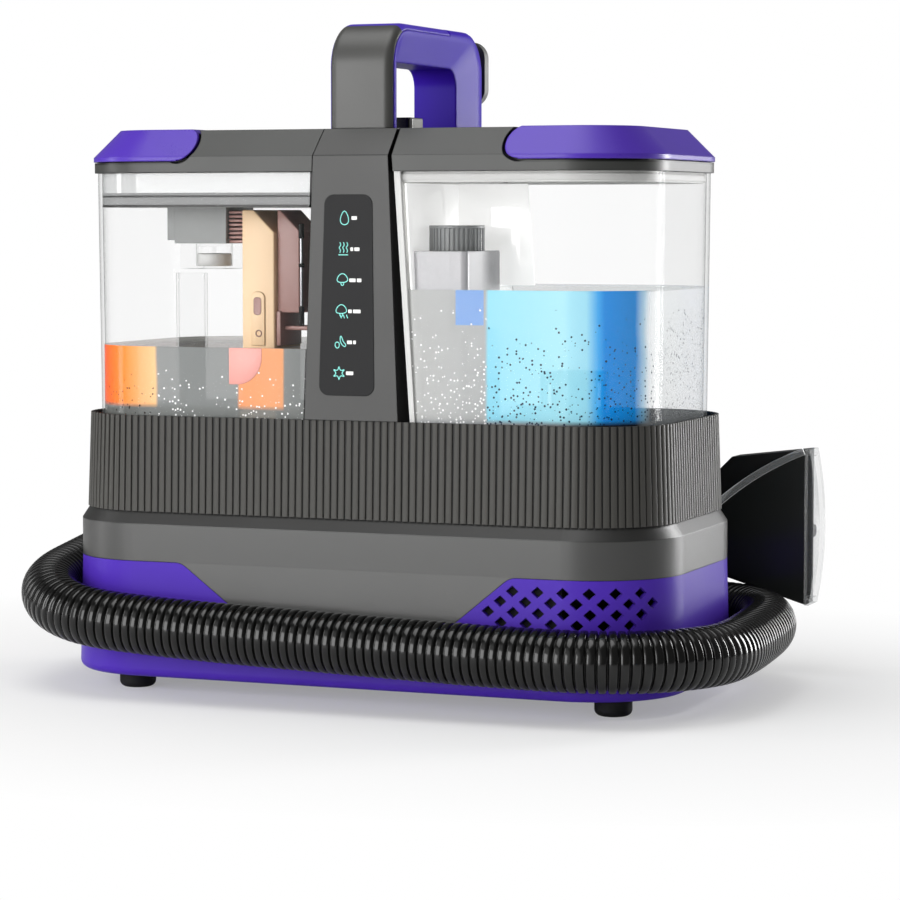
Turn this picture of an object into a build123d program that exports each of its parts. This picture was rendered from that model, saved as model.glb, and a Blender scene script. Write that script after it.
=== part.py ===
from build123d import *
import os
from math import atan2, cos, degrees, pi, radians, sin, tan

# A portable carpet cleaner: two clear tanks either side of a centre column, on a housing
# that holds the suction motor, pump and heater. Its hose is wrapped once round the base.
# Millimetres. X is to the right, Y to the back, Z up, measured from the middle of the base
# on the floor; the last lines move the finished pieces into the part's own frame.

# ---- Base housing ----
BASE_WIDTH = 400.0
BASE_DEPTH = 200.0
BASE_CORNER = 58.0
GROUND_GAP = 10.5
SKIRT_FLARE = 2.1
SKIRT_ROUND = 5.0
PAN_FLOOR = 3.0
BASE_WALL = 2.8
TRIM_TOP = 83.3
TRIM_DIP = 42.0
TRIM_DIP_LEFT = (-108.0, -52.0)
TRIM_DIP_RIGHT = (60.0, 110.0)
TRIM_ROUND = 12.0
SHOULDER_LOW = 106.6
SHOULDER_RISE = 7.3
SHOULDER_TOP = SHOULDER_LOW + SHOULDER_RISE
SHOULDER_INSET = 4.8
SHOULDER_FLANGE = 5.0
BELT_TOP = 174.0
BELT_INSET = 6.9
BELT_LIP = 1.6
REAR_PLATE_HALF = 62.0
DECK_DROP = 8.0
DECK_TOP = BELT_TOP - DECK_DROP
DECK_THICK = 6.0
DECK_LOW = DECK_TOP - DECK_THICK
DECK_LEDGE = 5.0
DECK_LEDGE_HEIGHT = 4.0
FIT = 0.2

# ---- Vent holes in the front skirt ----
VENT_WIDTH = 7.6
VENT_HEIGHT = 6.6
VENT_PITCH = 15.9
VENT_ROWS = ((111.7, 75.4), (104.1, 69.2), (96.4, 62.8), (104.6, 56.4))
VENT_COUNTS = (6, 7, 7, 6)
VENT_MARGIN = 2.0
FILTER_THICK = 5.0

# ---- Feet and screws ----
FOOT_RADIUS = 11.5
FOOT_LEFT_INSET = 47.0
FOOT_RIGHT_INSET = 34.0
FOOT_SIDE_INSET = 28.0
FOOT_ROUND = 4.0
SCREW_END_INSET = 32.0
SCREW_SIDE_INSET = 20.0
SCREW_END_X = BASE_WIDTH / 2 - SCREW_END_INSET
SCREW_END_Y = 45.0
SCREW_SIDE_Y = BASE_DEPTH / 2 - SCREW_SIDE_INSET
SCREW_SPOTS = (
    (-SCREW_END_X, -SCREW_END_Y),
    (-SCREW_END_X, SCREW_END_Y),
    (0.0, -SCREW_SIDE_Y),
    (0.0, SCREW_SIDE_Y),
    (SCREW_END_X, -SCREW_END_Y),
    (SCREW_END_X, SCREW_END_Y),
)
SCREW_HEAD_RADIUS = 4.0
SCREW_HEAD_DEPTH = 2.0
SCREW_RADIUS = 2.0
SCREW_LENGTH = 14.0
BOSS_RADIUS = 4.5
RUN_CLEARANCE = 0.05

# ---- Tanks ----
TANK_SIDE_INSET = 12.0
TANK_FRONT_INSET = 8.0
TANK_WIDTH = BASE_WIDTH - 2 * TANK_SIDE_INSET
TANK_DEPTH = BASE_DEPTH - 2 * TANK_FRONT_INSET
TANK_CORNER = BASE_CORNER - TANK_FRONT_INSET
TANK_HEIGHT = 159.1
TANK_TOP = DECK_TOP + TANK_HEIGHT
TANK_SHRINK = 1.5
TANK_WALL = 2.5
TANK_FLOOR = 3.0
TANK_INSIDE = DECK_TOP + TANK_FLOOR
LEFT = -1
RIGHT = 1
INBOARD_GAP = {LEFT: (0.8, 0.8), RIGHT: (6.0, 2.0)}

# ---- Centre column ----
COLUMN_X = 5.0
COLUMN_FRONT_INSET = 5.0
COLUMN_REAR_INSET = 18.0
COLUMN_FRONT = COLUMN_FRONT_INSET - BASE_DEPTH / 2
COLUMN_REAR = BASE_DEPTH / 2 - COLUMN_REAR_INSET
COLUMN_REAR_ROUND = 12.0
COLUMN_HALF_LOW = 30.75
COLUMN_HALF_HIGH = 24.65
COLUMN_LEVELS = (177.0, 335.0)
COLUMN_WALL = 2.5
LID_RISE = 9.7
SLOPE_RISE = 16.5
FOLD = TANK_TOP + LID_RISE
MACHINE_TOP = FOLD + SLOPE_RISE

# ---- Lids and latches ----
LID_OVERHANG = 2.0
LID_WIDTH = TANK_WIDTH + 2 * LID_OVERHANG
LID_DEPTH = TANK_DEPTH + 2 * LID_OVERHANG
LID_CORNER = TANK_CORNER + LID_OVERHANG
LID_WALL = 2.5
LATCH_LEDGE_RISE = 6.3
LATCH_LEDGE_GAP = 0.6
LATCH_LEDGE = TANK_TOP + LATCH_LEDGE_RISE
LATCH_LOW = LATCH_LEDGE + LATCH_LEDGE_GAP
LATCH_PROUD = 0.6
LATCH_WALL = 3.0
LATCH_CORE_INSET = 9.0
LATCH_CORE_RISE = 5.1
LATCH_CORE_TOP = LATCH_LEDGE + LATCH_CORE_RISE
LATCH_REACH = 77.5
LATCH_PIVOT_X = LID_WIDTH / 2 - LATCH_REACH
LATCH_PIVOT_DEPTH = 8.8
LATCH_PIVOT_Z = MACHINE_TOP - LATCH_PIVOT_DEPTH
LATCH_END_RADIUS = 10.0
LATCH_END_GAP = 2.0
LATCH_LUG_INSET = 24.0
LATCH_LUG_THICK = 4.0
LATCH_LUG_Y = (LID_DEPTH / 2 - LATCH_LUG_INSET - LATCH_LUG_THICK, LID_DEPTH / 2 - LATCH_LUG_INSET)
LATCH_LUG_RADIUS = 5.0
LATCH_PIN_RADIUS = 2.0
PIN_BOSS_GAP = 0.5
PIN_BOSS_THICK = 7.5
PIN_BOSS_Y = (LATCH_LUG_Y[0] - PIN_BOSS_GAP - PIN_BOSS_THICK, LATCH_LUG_Y[0] - PIN_BOSS_GAP)
PIN_BOSS_HALF = 3.5
PIN_SEAT = 0.02
SEAL_CLEARANCE = 0.3
SEAL_DEPTH = 1.2
PLUG_WALL = 2.0
LID_FLANGE = 8.0
DIRTY_PLUG_DEPTH = 21.6
CLEAN_PLUG_DEPTH = 6.6
SEAL_RISE = 1.0
DIRTY_SEAL_HEIGHT = 8.0
CLEAN_SEAL_HEIGHT = 4.0
DIRTY_PLUG_LOW = TANK_TOP - DIRTY_PLUG_DEPTH
DIRTY_SEAL = (DIRTY_PLUG_LOW + SEAL_RISE, DIRTY_PLUG_LOW + SEAL_RISE + DIRTY_SEAL_HEIGHT)
CLEAN_PLUG_LOW = TANK_TOP - CLEAN_PLUG_DEPTH
CLEAN_SEAL = (CLEAN_PLUG_LOW + SEAL_RISE, CLEAN_PLUG_LOW + SEAL_RISE + CLEAN_SEAL_HEIGHT)

# ---- Handle, button and cord hooks ----
HANDLE_X = (-17.0, 25.0)
HANDLE_FRONT_INSET = 17.5
HANDLE_REAR_INSET = 4.0
HANDLE_Y = (COLUMN_FRONT + HANDLE_FRONT_INSET, COLUMN_REAR - HANDLE_REAR_INSET)
GRIP_ROOM = 40.7
GRIP_THICK = 24.0
GRIP_GAP_TOP = MACHINE_TOP + GRIP_ROOM
HANDLE_TOP = GRIP_GAP_TOP + GRIP_THICK
HANDLE_ROUND = 27.0
HANDLE_EDGE = 6.0
GRIP_LEG_THICK = (11.5, 33.0)
GRIP_GAP_Y = (HANDLE_Y[0] + GRIP_LEG_THICK[0], HANDLE_Y[1] - GRIP_LEG_THICK[1])
GRIP_GAP_ROUND = 12.0
HANDLE_SHELL = 4.0
HANDLE_SHELL_END = 20.0
BUTTON_X = (-8.0, 16.0)
BUTTON_Y = (-25.0, -3.0)
BUTTON_RISE = 8.2
BUTTON_TOP = MACHINE_TOP + BUTTON_RISE
BUTTON_TRAVEL = 2.0
BUTTON_CLEARANCE = 0.3
BUTTON_DEPTH = 5.1
BUTTON_LOW = MACHINE_TOP - BUTTON_DEPTH
SWITCH_WALL = 3.0
SWITCH_DEPTH = 14.8
SWITCH_LOW = MACHINE_TOP - SWITCH_DEPTH
HOOK_X = 4.0
HOOK_DROP = 35.0
HOOK_Z = HANDLE_TOP - HOOK_DROP
HOOK_PLATE = (34.0, 42.0, 7.0)
HOOK_RISE = 10.0
HOOK_ROUND = 11.0
HOOK_STANDOFF = 8.0
HOOK_PLATE_Y = COLUMN_REAR + HOOK_STANDOFF
HOOK_HUB_RADIUS = 8.0
HOOK_PIN_RADIUS = 2.5
HOOK_SKIN = 2.0
LOW_HOOK_RISE = 46.0
LOW_HOOK_Z = DECK_TOP + LOW_HOOK_RISE

# ---- Control panel ----
PANEL_TOP_DROP = 23.8
PANEL_RISE = 23.5
PANEL_TOP = FOLD - PANEL_TOP_DROP
PANEL_LOW = DECK_TOP + PANEL_RISE
PANEL_LEFT = (-15.9, -11.6)
PANEL_RIGHT = (20.5, 19.5)
PANEL_ROUND = 6.0
PANEL_THICK = 1.5
PANEL_PROUD = 0.3
BOARD_THICK = 1.6
CHIP_LEVELS = (20.0, 60.0, 96.0)
CHIP_HALF = 8.0
CHIP_THICK = 5.0

# ---- Drive, pump and heater ----
MOTOR_RADIUS = 43.0
MOTOR_SEAT_RISE = 2.5
MOTOR_HEADROOM = 16.0
MOUNT_THICK = 4.0
FAN_RADIUS = 60.0
FAN_SIDE_GAP = 25.0
MOTOR_SPOT = (BASE_WIDTH / 2 - FAN_SIDE_GAP - FAN_RADIUS, -5.0)
FAN_WALL = 2.5
FAN_TOP = 59.0
FAN_OUTLET_WIDTH = 24.0
FAN_OUTLET_HEIGHT = 16.0
FEED_DROP = 16.0
FEED_LEVEL = DECK_LOW - FEED_DROP
HEAT_DROP = 24.0
HEAT_LEVEL = FEED_LEVEL - HEAT_DROP
MOTOR_LEVELS = (FAN_TOP + MOTOR_SEAT_RISE, FEED_LEVEL - MOTOR_HEADROOM)
SHAFT_REACH = 28.5
SHAFT_TOP = MOTOR_LEVELS[0] + SHAFT_REACH
FAN_INLET_RADIUS = 22.0
IMPELLER_RADIUS = 52.0
IMPELLER_HUB_RADIUS = 12.0
IMPELLER_LEVELS = (24.0, 50.0)
IMPELLER_DISC = 2.0
BLADE_COUNT = 9
BLADE_THICK = 2.0
SHAFT_RADIUS = 4.0
PUMP_X = (-58.0, -22.0)
PUMP_Y = (-60.0, -5.0)
PUMP_HEIGHT = 38.0
BOILER_SPOT = (-146.0, 74.0)
BOILER_RADIUS = 27.0
BOILER_Y = (-50.0, 50.0)
BOILER_BRACKETS_Y = (-32.0, 32.0)
BRACKET_THICK = 8.0
TUBE_RADIUS = 4.0
DUCT_RADIUS = 18.0
DUCT_WALL = 2.5
DUCT_SPOT = (-83.0, -40.0)

# ---- Hose, port and stowed wand ----
HOSE_RADIUS = 18.5
HOSE_STANDOFF = 21.0
HOSE_LINE = BASE_DEPTH / 2 + HOSE_STANDOFF
PORT_Z = 44.0
PORT_X = -83.0
PORT_STANDOFF = 25.0
PORT_Y = BASE_DEPTH / 2 + PORT_STANDOFF
PORT_WALL = 3.0
PORT_SPIGOT_END = -36.0
WAND_STANDOFF = 38.0
WAND_Y = BASE_DEPTH / 2 + WAND_STANDOFF
WAND_Z = 92.0
WAND_RADIUS = 18.0
WAND_WALL = 3.5
WAND_X = (-20.0, 128.0)
WAND_TIP_X = 152.0
WAND_TIP_RADIUS = 15.5
CUFF_RADIUS = 22.5
CUFF_LAP = 26.0
HOSE_CLEARANCE = 0.1
SADDLE_WIDTH = 16.0
SADDLE_TIP = 8.0
SADDLE_DROP = 18.0
SOFT_GAP = 0.3
CRADLE_X = (18.0, 104.0)
CRADLE_WIDTH = 12.0
CRADLE_WALL = 3.5
TRIGGER_PIVOT = (88.0, 114.5)
TRIGGER_REACH = 52.0
TRIGGER_WIDTH = 12.0
TRIGGER_LEVELS = (116.5, 121.0)
TRIGGER_LUG_RADIUS = 3.8
TRIGGER_PIN_RADIUS = 1.5
TRIGGER_GAP = 0.3
EAR_THICK = 3.0
EAR_HALF = 5.0

# ---- Nozzle ----
NOZZLE_BACK = 7.0
NOZZLE_THICK = 20.0
NOZZLE_Y = (WAND_Y - NOZZLE_BACK, WAND_Y - NOZZLE_BACK + NOZZLE_THICK)
NOZZLE_MOUTH_X = 229.0
NOZZLE_LIP_X = 237.0
NOZZLE_MOUTH_Z = (45.5, 147.0)
NOZZLE_OUTLINE = ((150.0, 75.5), (176.0, 61.5), (229.0, 45.5), (229.0, 147.0), (179.0, 141.0), (168.0, 130.0))
NOZZLE_NECK_END = (150.0, 108.5)
WINDOW_THICK = 3.0
SLOT_HALF = 5.0
SLOT_BACK_X = 186.0
LIP_WALL = 2.0

# The hose's own points, from the machine's port to the back of the wand.
HOSE_POINTS = (
    (PORT_SPIGOT_END, PORT_Y, PORT_Z),
    (60.0, PORT_Y, PORT_Z),
    (184.0, HOSE_LINE, 42.0),
    (225.0, 74.0, 42.0),
    (228.5, 0.0, 37.5),
    (230.0, -70.0, 38.0),
    (184.0, -HOSE_LINE, 38.2),
    (100.0, -HOSE_LINE - 0.4, 38.8),
    (0.0, -HOSE_LINE + 0.2, 41.6),
    (-100.0, -HOSE_LINE - 0.2, 44.8),
    (-176.0, -HOSE_LINE - 0.5, 50.0),
    (-217.5, -80.0, 61.5),
    (-223.5, 2.0, 70.5),
    (-222.5, 79.0, 82.0),
    (-178.0, HOSE_LINE + 1.0, 90.5),
    (-102.0, WAND_Y, WAND_Z),
    (WAND_X[0], WAND_Y, WAND_Z),
)

os.makedirs("parts", exist_ok=True)

TURNS = {"x": (0, 90, 0), "y": (90, 0, 0), "z": (0, 0, 0)}
SKIRT_DRAFT = degrees(atan2(SKIRT_FLARE, TRIM_TOP - GROUND_GAP))
SHOULDER_DRAFT = degrees(atan2(SHOULDER_INSET, SHOULDER_TOP - SHOULDER_LOW))
BELT_DRAFT = degrees(atan2(BELT_INSET - SHOULDER_INSET, BELT_TOP - SHOULDER_TOP))
BELT_INNER_INSET = BELT_INSET + BELT_LIP
TANK_DRAFT = degrees(atan2(TANK_SHRINK, TANK_TOP - DECK_TOP))
PAN_TOP = GROUND_GAP + PAN_FLOOR
FAR = 300.0


# ---------------------------------------------------------------- helpers
def block(x, y, z, mode=Mode.ADD):
    """A box between a low and a high value on each axis."""
    with Locations((sum(x) / 2, sum(y) / 2, sum(z) / 2)):
        Box(x[1] - x[0], y[1] - y[0], z[1] - z[0], mode=mode)


def drum(along, at, radius, span, mode=Mode.ADD):
    """A cylinder along one axis; at is its place on the other two, in X, Y, Z order."""
    middle = list(at)
    middle.insert("xyz".index(along), sum(span) / 2)
    with Locations(tuple(middle)):
        Cylinder(radius, span[1] - span[0], rotation=TURNS[along], mode=mode)


def grown(span, by):
    """A low and high value moved apart by the same amount at each end."""
    return (span[0] - by, span[1] + by)


def base_layer(low, high, inset, taper=0.0, mode=Mode.ADD):
    """A layer of the base's rounded outline, drafted inwards as it rises."""
    with BuildSketch(Plane.XY.offset(low)) as outline:
        RectangleRounded(BASE_WIDTH - 2 * inset, BASE_DEPTH - 2 * inset, BASE_CORNER - inset)
    extrude(outline.sketch, amount=high - low, taper=taper, mode=mode)


def skirt_form():
    """The solid form of the flared skirt, with its lower edge rounded."""
    with BuildPart() as form:
        base_layer(GROUND_GAP, TRIM_TOP, -SKIRT_FLARE, SKIRT_DRAFT)
        fillet(form.faces().sort_by(Axis.Z)[0].edges(), radius=SKIRT_ROUND)
    return form.part


def above_trim():
    """Everything above the line where the coloured skirt meets the grey housing."""
    with BuildPart() as form:
        with BuildSketch(Plane.XZ):
            with BuildLine():
                FilletPolyline(
                    (-FAR, TRIM_TOP),
                    (TRIM_DIP_LEFT[0], TRIM_TOP),
                    (TRIM_DIP_LEFT[1], TRIM_DIP),
                    (TRIM_DIP_RIGHT[0], TRIM_DIP),
                    (TRIM_DIP_RIGHT[1], TRIM_TOP),
                    (FAR, TRIM_TOP),
                    radius=TRIM_ROUND,
                )
                Polyline((FAR, TRIM_TOP), (FAR, FAR), (-FAR, FAR), (-FAR, TRIM_TOP))
            make_face()
        extrude(amount=BASE_DEPTH, both=True)
    return form.part


def column_half(z):
    """Half the column's width at a height."""
    share = (z - COLUMN_LEVELS[0]) / (COLUMN_LEVELS[1] - COLUMN_LEVELS[0])
    return COLUMN_HALF_LOW + (COLUMN_HALF_HIGH - COLUMN_HALF_LOW) * share


def inboard_x(side, z, margin=0.0):
    """Where a tank's face beside the column stands, moved outboard by a margin."""
    share = (z - COLUMN_LEVELS[0]) / (COLUMN_LEVELS[1] - COLUMN_LEVELS[0])
    gap = INBOARD_GAP[side][0] + (INBOARD_GAP[side][1] - INBOARD_GAP[side][0]) * share
    return COLUMN_X + side * (column_half(z) + gap + margin)


def cut_inboard(side, margin, low, high):
    """Take away all that lies inboard of a tank's face beside the column."""
    with BuildSketch(Plane.XZ) as spare:
        Polygon(
            (inboard_x(side, low, margin), low),
            (inboard_x(side, high, margin), high),
            (-side * FAR, high),
            (-side * FAR, low),
            align=None,
        )
    extrude(spare.sketch, amount=BASE_DEPTH, both=True, mode=Mode.SUBTRACT)


def tank_form(side, inset, low, high):
    """A tank's drafted form, set in by inset all round, between two heights."""
    spread = (low - DECK_TOP) * tan(radians(TANK_DRAFT)) - TANK_SHRINK - inset
    with BuildPart() as form:
        with BuildSketch(Plane.XY.offset(low)) as outline:
            RectangleRounded(TANK_WIDTH + 2 * spread, TANK_DEPTH + 2 * spread, TANK_CORNER + spread)
        extrude(outline.sketch, amount=high - low, taper=-TANK_DRAFT)
        cut_inboard(side, inset, low - 1, high + 1)
    return form.part


def lid_form(side, inset, low, top, fold=FOLD):
    """A lid's form with its top edge sloped at 45 degrees, set in by inset all round."""
    with BuildPart() as form:
        with BuildSketch(Plane.XY.offset(low)) as outline:
            RectangleRounded(LID_WIDTH - 2 * inset, LID_DEPTH - 2 * inset, LID_CORNER - inset)
        extrude(outline.sketch, amount=min(fold, top) - low)
        if top > fold:
            with BuildSketch(Plane.XY.offset(fold)) as slope:
                RectangleRounded(LID_WIDTH - 2 * inset, LID_DEPTH - 2 * inset, LID_CORNER - inset)
            extrude(slope.sketch, amount=top - fold, taper=45)
        cut_inboard(side, inset, low - 1, top + 1)
    return form.part


def beyond(side, x, low=0.0, high=FAR * 2):
    """All space outboard of a place on one side, between two heights."""
    with BuildPart() as space:
        block(sorted((side * x, side * FAR)), (-FAR, FAR), (low, high))
    return space.part


def pipe_path(*points):
    """A pipe's bore or wall: cylinders between points, along the axes, with round corners."""
    def sweep_out(radius, mode=Mode.ADD):
        for first, last in zip(points, points[1:]):
            moved = [abs(b - a) > 0.001 for a, b in zip(first, last)].index(True)
            at = [value for index, value in enumerate(first) if index != moved]
            drum("xyz"[moved], at, radius, sorted((first[moved], last[moved])), mode)
        for corner in points[1:-1]:
            with Locations(corner):
                Sphere(radius, mode=mode)
    return sweep_out


# ---------------------------------------------------------------- base pan
skirt = skirt_form()
over_trim = above_trim()


def vent_place(distance, z):
    """A vent's plane on the skirt: distance is measured along the front and round the corner."""
    straight = BASE_WIDTH / 2 - BASE_CORNER
    turn = max(distance - straight, 0.0) / BASE_CORNER
    centre = (straight, BASE_CORNER - BASE_DEPTH / 2)
    x = min(distance, straight) + BASE_CORNER * sin(turn)
    y = centre[1] - BASE_CORNER * cos(turn)
    return Plane(origin=(x, y, z), x_dir=(cos(turn), sin(turn), 0), z_dir=(sin(turn), -cos(turn), 0))


with BuildPart() as base_pan:
    add(skirt)
    base_layer(PAN_TOP, TRIM_TOP + 1, BASE_WALL, mode=Mode.SUBTRACT)
    add(over_trim, mode=Mode.SUBTRACT)
    drum("y", (PORT_X, PORT_Z), DUCT_RADIUS + FIT, (BASE_DEPTH / 2 - 10, BASE_DEPTH / 2 + 10), Mode.SUBTRACT)
    for (first, height), count in zip(VENT_ROWS, VENT_COUNTS):
        for index in range(count):
            with BuildSketch(vent_place(first + index * VENT_PITCH, height)) as diamond:
                half = (VENT_WIDTH / 2, VENT_HEIGHT / 2)
                Polygon((half[0], 0), (0, half[1]), (-half[0], 0), (0, -half[1]), align=None)
            extrude(diamond.sketch, amount=BASE_WALL * 3, both=True, mode=Mode.SUBTRACT)
    for x, y in SCREW_SPOTS:
        drum("z", (x, y), BOSS_RADIUS, (PAN_TOP, PAN_TOP + SCREW_LENGTH))
        hole_top = GROUND_GAP + SCREW_HEAD_DEPTH + SCREW_LENGTH
        drum("z", (x, y), SCREW_RADIUS + RUN_CLEARANCE, (GROUND_GAP, hole_top), Mode.SUBTRACT)
        head = (GROUND_GAP, GROUND_GAP + SCREW_HEAD_DEPTH)
        drum("z", (x, y), SCREW_HEAD_RADIUS + RUN_CLEARANCE, head, Mode.SUBTRACT)
base_pan.part.label = "base_pan"

with BuildPart() as base_screws:
    for x, y in SCREW_SPOTS:
        drum("z", (x, y), SCREW_HEAD_RADIUS, (GROUND_GAP, GROUND_GAP + SCREW_HEAD_DEPTH))
        shank = (GROUND_GAP + SCREW_HEAD_DEPTH, GROUND_GAP + SCREW_HEAD_DEPTH + SCREW_LENGTH)
        drum("z", (x, y), SCREW_RADIUS, shank)
base_screws.part.label = "base_screws"

with BuildPart() as feet:
    for x in (FOOT_LEFT_INSET - BASE_WIDTH / 2, BASE_WIDTH / 2 - FOOT_RIGHT_INSET):
        for y in (FOOT_SIDE_INSET - BASE_DEPTH / 2, BASE_DEPTH / 2 - FOOT_SIDE_INSET):
            drum("z", (x, y), FOOT_RADIUS, (0.0, GROUND_GAP))
    fillet(feet.faces().group_by(Axis.Z)[0].edges(), radius=FOOT_ROUND)
feet.part.label = "feet"

FILTER_FRONT = -BASE_DEPTH / 2 + BASE_WALL
with BuildPart() as vent_filter:
    filter_z = (PAN_TOP, VENT_ROWS[0][1] + VENT_HEIGHT / 2 + VENT_MARGIN)
    filter_x = (VENT_ROWS[2][0] - VENT_WIDTH, BASE_WIDTH / 2 - BASE_CORNER)
    block(filter_x, (FILTER_FRONT + FIT, FILTER_FRONT + FIT + FILTER_THICK), filter_z)
vent_filter.part.label = "vent_filter"

# ---------------------------------------------------------------- lower housing and belt
INLET_DROP = 14.0
INLET_SPOT = (COLUMN_X, DECK_LOW - INLET_DROP)
INLET_RADIUS = 7.0
with BuildPart() as lower_housing:
    add(skirt)
    base_layer(TRIM_TOP, SHOULDER_LOW, 0)
    base_layer(SHOULDER_LOW, SHOULDER_TOP, 0, SHOULDER_DRAFT)
    base_layer(GROUND_GAP, SHOULDER_LOW - BASE_WALL, BASE_WALL, mode=Mode.SUBTRACT)
    base_layer(GROUND_GAP, SHOULDER_TOP, BELT_INNER_INSET + SHOULDER_FLANGE, mode=Mode.SUBTRACT)
    add(over_trim, mode=Mode.INTERSECT)
    drum("y", (PORT_X, PORT_Z), DUCT_RADIUS + FIT, (BASE_DEPTH / 2 - 10, BASE_DEPTH / 2 + 10), Mode.SUBTRACT)
lower_housing.part.label = "lower_housing"

with BuildPart() as fluted_belt:
    base_layer(SHOULDER_TOP, BELT_TOP, SHOULDER_INSET, BELT_DRAFT)
    base_layer(SHOULDER_TOP, DECK_LOW - DECK_LEDGE_HEIGHT, BELT_INNER_INSET, mode=Mode.SUBTRACT)
    base_layer(DECK_LOW - DECK_LEDGE_HEIGHT, DECK_LOW, BELT_INNER_INSET + DECK_LEDGE, mode=Mode.SUBTRACT)
    base_layer(DECK_LOW, BELT_TOP, BELT_INNER_INSET, mode=Mode.SUBTRACT)
    drum("y", INLET_SPOT, INLET_RADIUS, (BASE_DEPTH / 2 - 20, BASE_DEPTH / 2), Mode.SUBTRACT)
    # The rear plate that holds the supply cord is a separate moulding, let into the belt.
    for seam in grown((COLUMN_X, COLUMN_X), REAR_PLATE_HALF):
        block(grown((seam, seam), FIT / 2), (0, FAR), (0, FAR), Mode.SUBTRACT)
fluted_belt.part.label = "fluted_belt"

VALVE_SPOT = (105.0, 30.0)
VALVE_RADIUS = 11.0
VALVE_DEPTH = 4.5
VALVE_LOW = DECK_TOP - VALVE_DEPTH
with BuildPart() as tank_deck:
    base_layer(DECK_LOW, DECK_TOP, BELT_INNER_INSET + FIT)
    drum("z", VALVE_SPOT, VALVE_RADIUS + 1, (DECK_LOW, DECK_TOP), Mode.SUBTRACT)
    drum("z", DUCT_SPOT, DUCT_RADIUS - DUCT_WALL, (DECK_LOW, DECK_TOP), Mode.SUBTRACT)
tank_deck.part.label = "tank_deck"

with BuildPart() as power_inlet:
    inlet_face = BASE_DEPTH / 2 - SHOULDER_INSET
    drum("y", INLET_SPOT, INLET_RADIUS - FIT, (inlet_face - 12, inlet_face + 9))
    drum("y", INLET_SPOT, INLET_RADIUS + 4, (inlet_face, inlet_face + 3))
    drum("y", INLET_SPOT, INLET_RADIUS / 2, (inlet_face - 12, inlet_face + 9), Mode.SUBTRACT)
power_inlet.part.label = "power_inlet"

# ---------------------------------------------------------------- suction motor and fan
with BuildPart() as motor_mount:
    drum("z", MOTOR_SPOT, FAN_RADIUS, (PAN_TOP, PAN_TOP + MOUNT_THICK))
    drum("z", MOTOR_SPOT, FAN_RADIUS - 12, (PAN_TOP, PAN_TOP + MOUNT_THICK), Mode.SUBTRACT)
motor_mount.part.label = "motor_mount"

FAN_LOW = PAN_TOP + MOUNT_THICK
with BuildPart() as fan_housing:
    drum("z", MOTOR_SPOT, FAN_RADIUS, (FAN_LOW, FAN_TOP))
    drum("z", MOTOR_SPOT, FAN_RADIUS - FAN_WALL, (FAN_LOW + FAN_WALL, FAN_TOP - FAN_WALL), Mode.SUBTRACT)
    drum("z", MOTOR_SPOT, FAN_INLET_RADIUS, (FAN_LOW, FAN_LOW + FAN_WALL), Mode.SUBTRACT)
    drum("z", MOTOR_SPOT, SHAFT_RADIUS + 2, (FAN_TOP - FAN_WALL, FAN_TOP), Mode.SUBTRACT)
    for angle in range(0, 360, 60):
        outlet = Plane(origin=(*MOTOR_SPOT, 0)).rotated((0, 0, angle))
        with BuildSketch(outlet.offset(FAN_LOW + FAN_WALL + 4)) as window:
            with Locations((FAN_RADIUS, 0)):
                Rectangle(FAN_WALL * 4, FAN_OUTLET_WIDTH)
        extrude(window.sketch, amount=FAN_OUTLET_HEIGHT, mode=Mode.SUBTRACT)
fan_housing.part.label = "fan_housing"

with BuildPart() as suction_motor:
    drum("z", MOTOR_SPOT, MOTOR_RADIUS, MOTOR_LEVELS)
    drum("z", MOTOR_SPOT, MOTOR_RADIUS - 10, (FAN_TOP, MOTOR_LEVELS[0]))
    fillet(suction_motor.faces().sort_by(Axis.Z)[-1].edges(), radius=4)
    drum("z", MOTOR_SPOT, SHAFT_RADIUS + RUN_CLEARANCE, (FAN_TOP, SHAFT_TOP + 1), Mode.SUBTRACT)
suction_motor.part.label = "suction_motor"

with BuildPart() as motor_shaft:
    drum("z", MOTOR_SPOT, SHAFT_RADIUS, (IMPELLER_LEVELS[0], SHAFT_TOP))
motor_shaft.part.label = "motor_shaft"

with BuildPart() as impeller:
    low, high = IMPELLER_LEVELS
    drum("z", MOTOR_SPOT, IMPELLER_RADIUS, (high - IMPELLER_DISC, high))
    drum("z", MOTOR_SPOT, IMPELLER_HUB_RADIUS, (low, high))
    for index in range(BLADE_COUNT):
        blade = Plane(origin=(*MOTOR_SPOT, 0)).rotated((0, 0, index * 360 / BLADE_COUNT))
        with BuildSketch(blade.offset(low)) as outline:
            with Locations((IMPELLER_RADIUS / 2 + 2, 0)):
                Rectangle(IMPELLER_RADIUS - 6, BLADE_THICK, rotation=12)
        extrude(outline.sketch, amount=high - low - IMPELLER_DISC)
    drum("z", MOTOR_SPOT, SHAFT_RADIUS + PIN_SEAT, (low, high), Mode.SUBTRACT)
impeller.part.label = "impeller"

# ---------------------------------------------------------------- pump, heater and pipes
PUMP_TOP = PAN_TOP + PUMP_HEIGHT
PUMP_MIDDLE = (sum(PUMP_X) / 2, sum(PUMP_Y) / 2)
with BuildPart() as water_pump:
    block(PUMP_X, PUMP_Y, (PAN_TOP, PUMP_TOP))
    fillet(water_pump.edges().filter_by(Axis.Z), radius=5)
    drum("z", (PUMP_MIDDLE[0], PUMP_Y[1] - 12), TUBE_RADIUS + 3, (PUMP_TOP, PUMP_TOP + 6))
    drum("z", (PUMP_MIDDLE[0], PUMP_Y[0] + 12), TUBE_RADIUS + 3, (PUMP_TOP, PUMP_TOP + 6))
water_pump.part.label = "water_pump"

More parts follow.
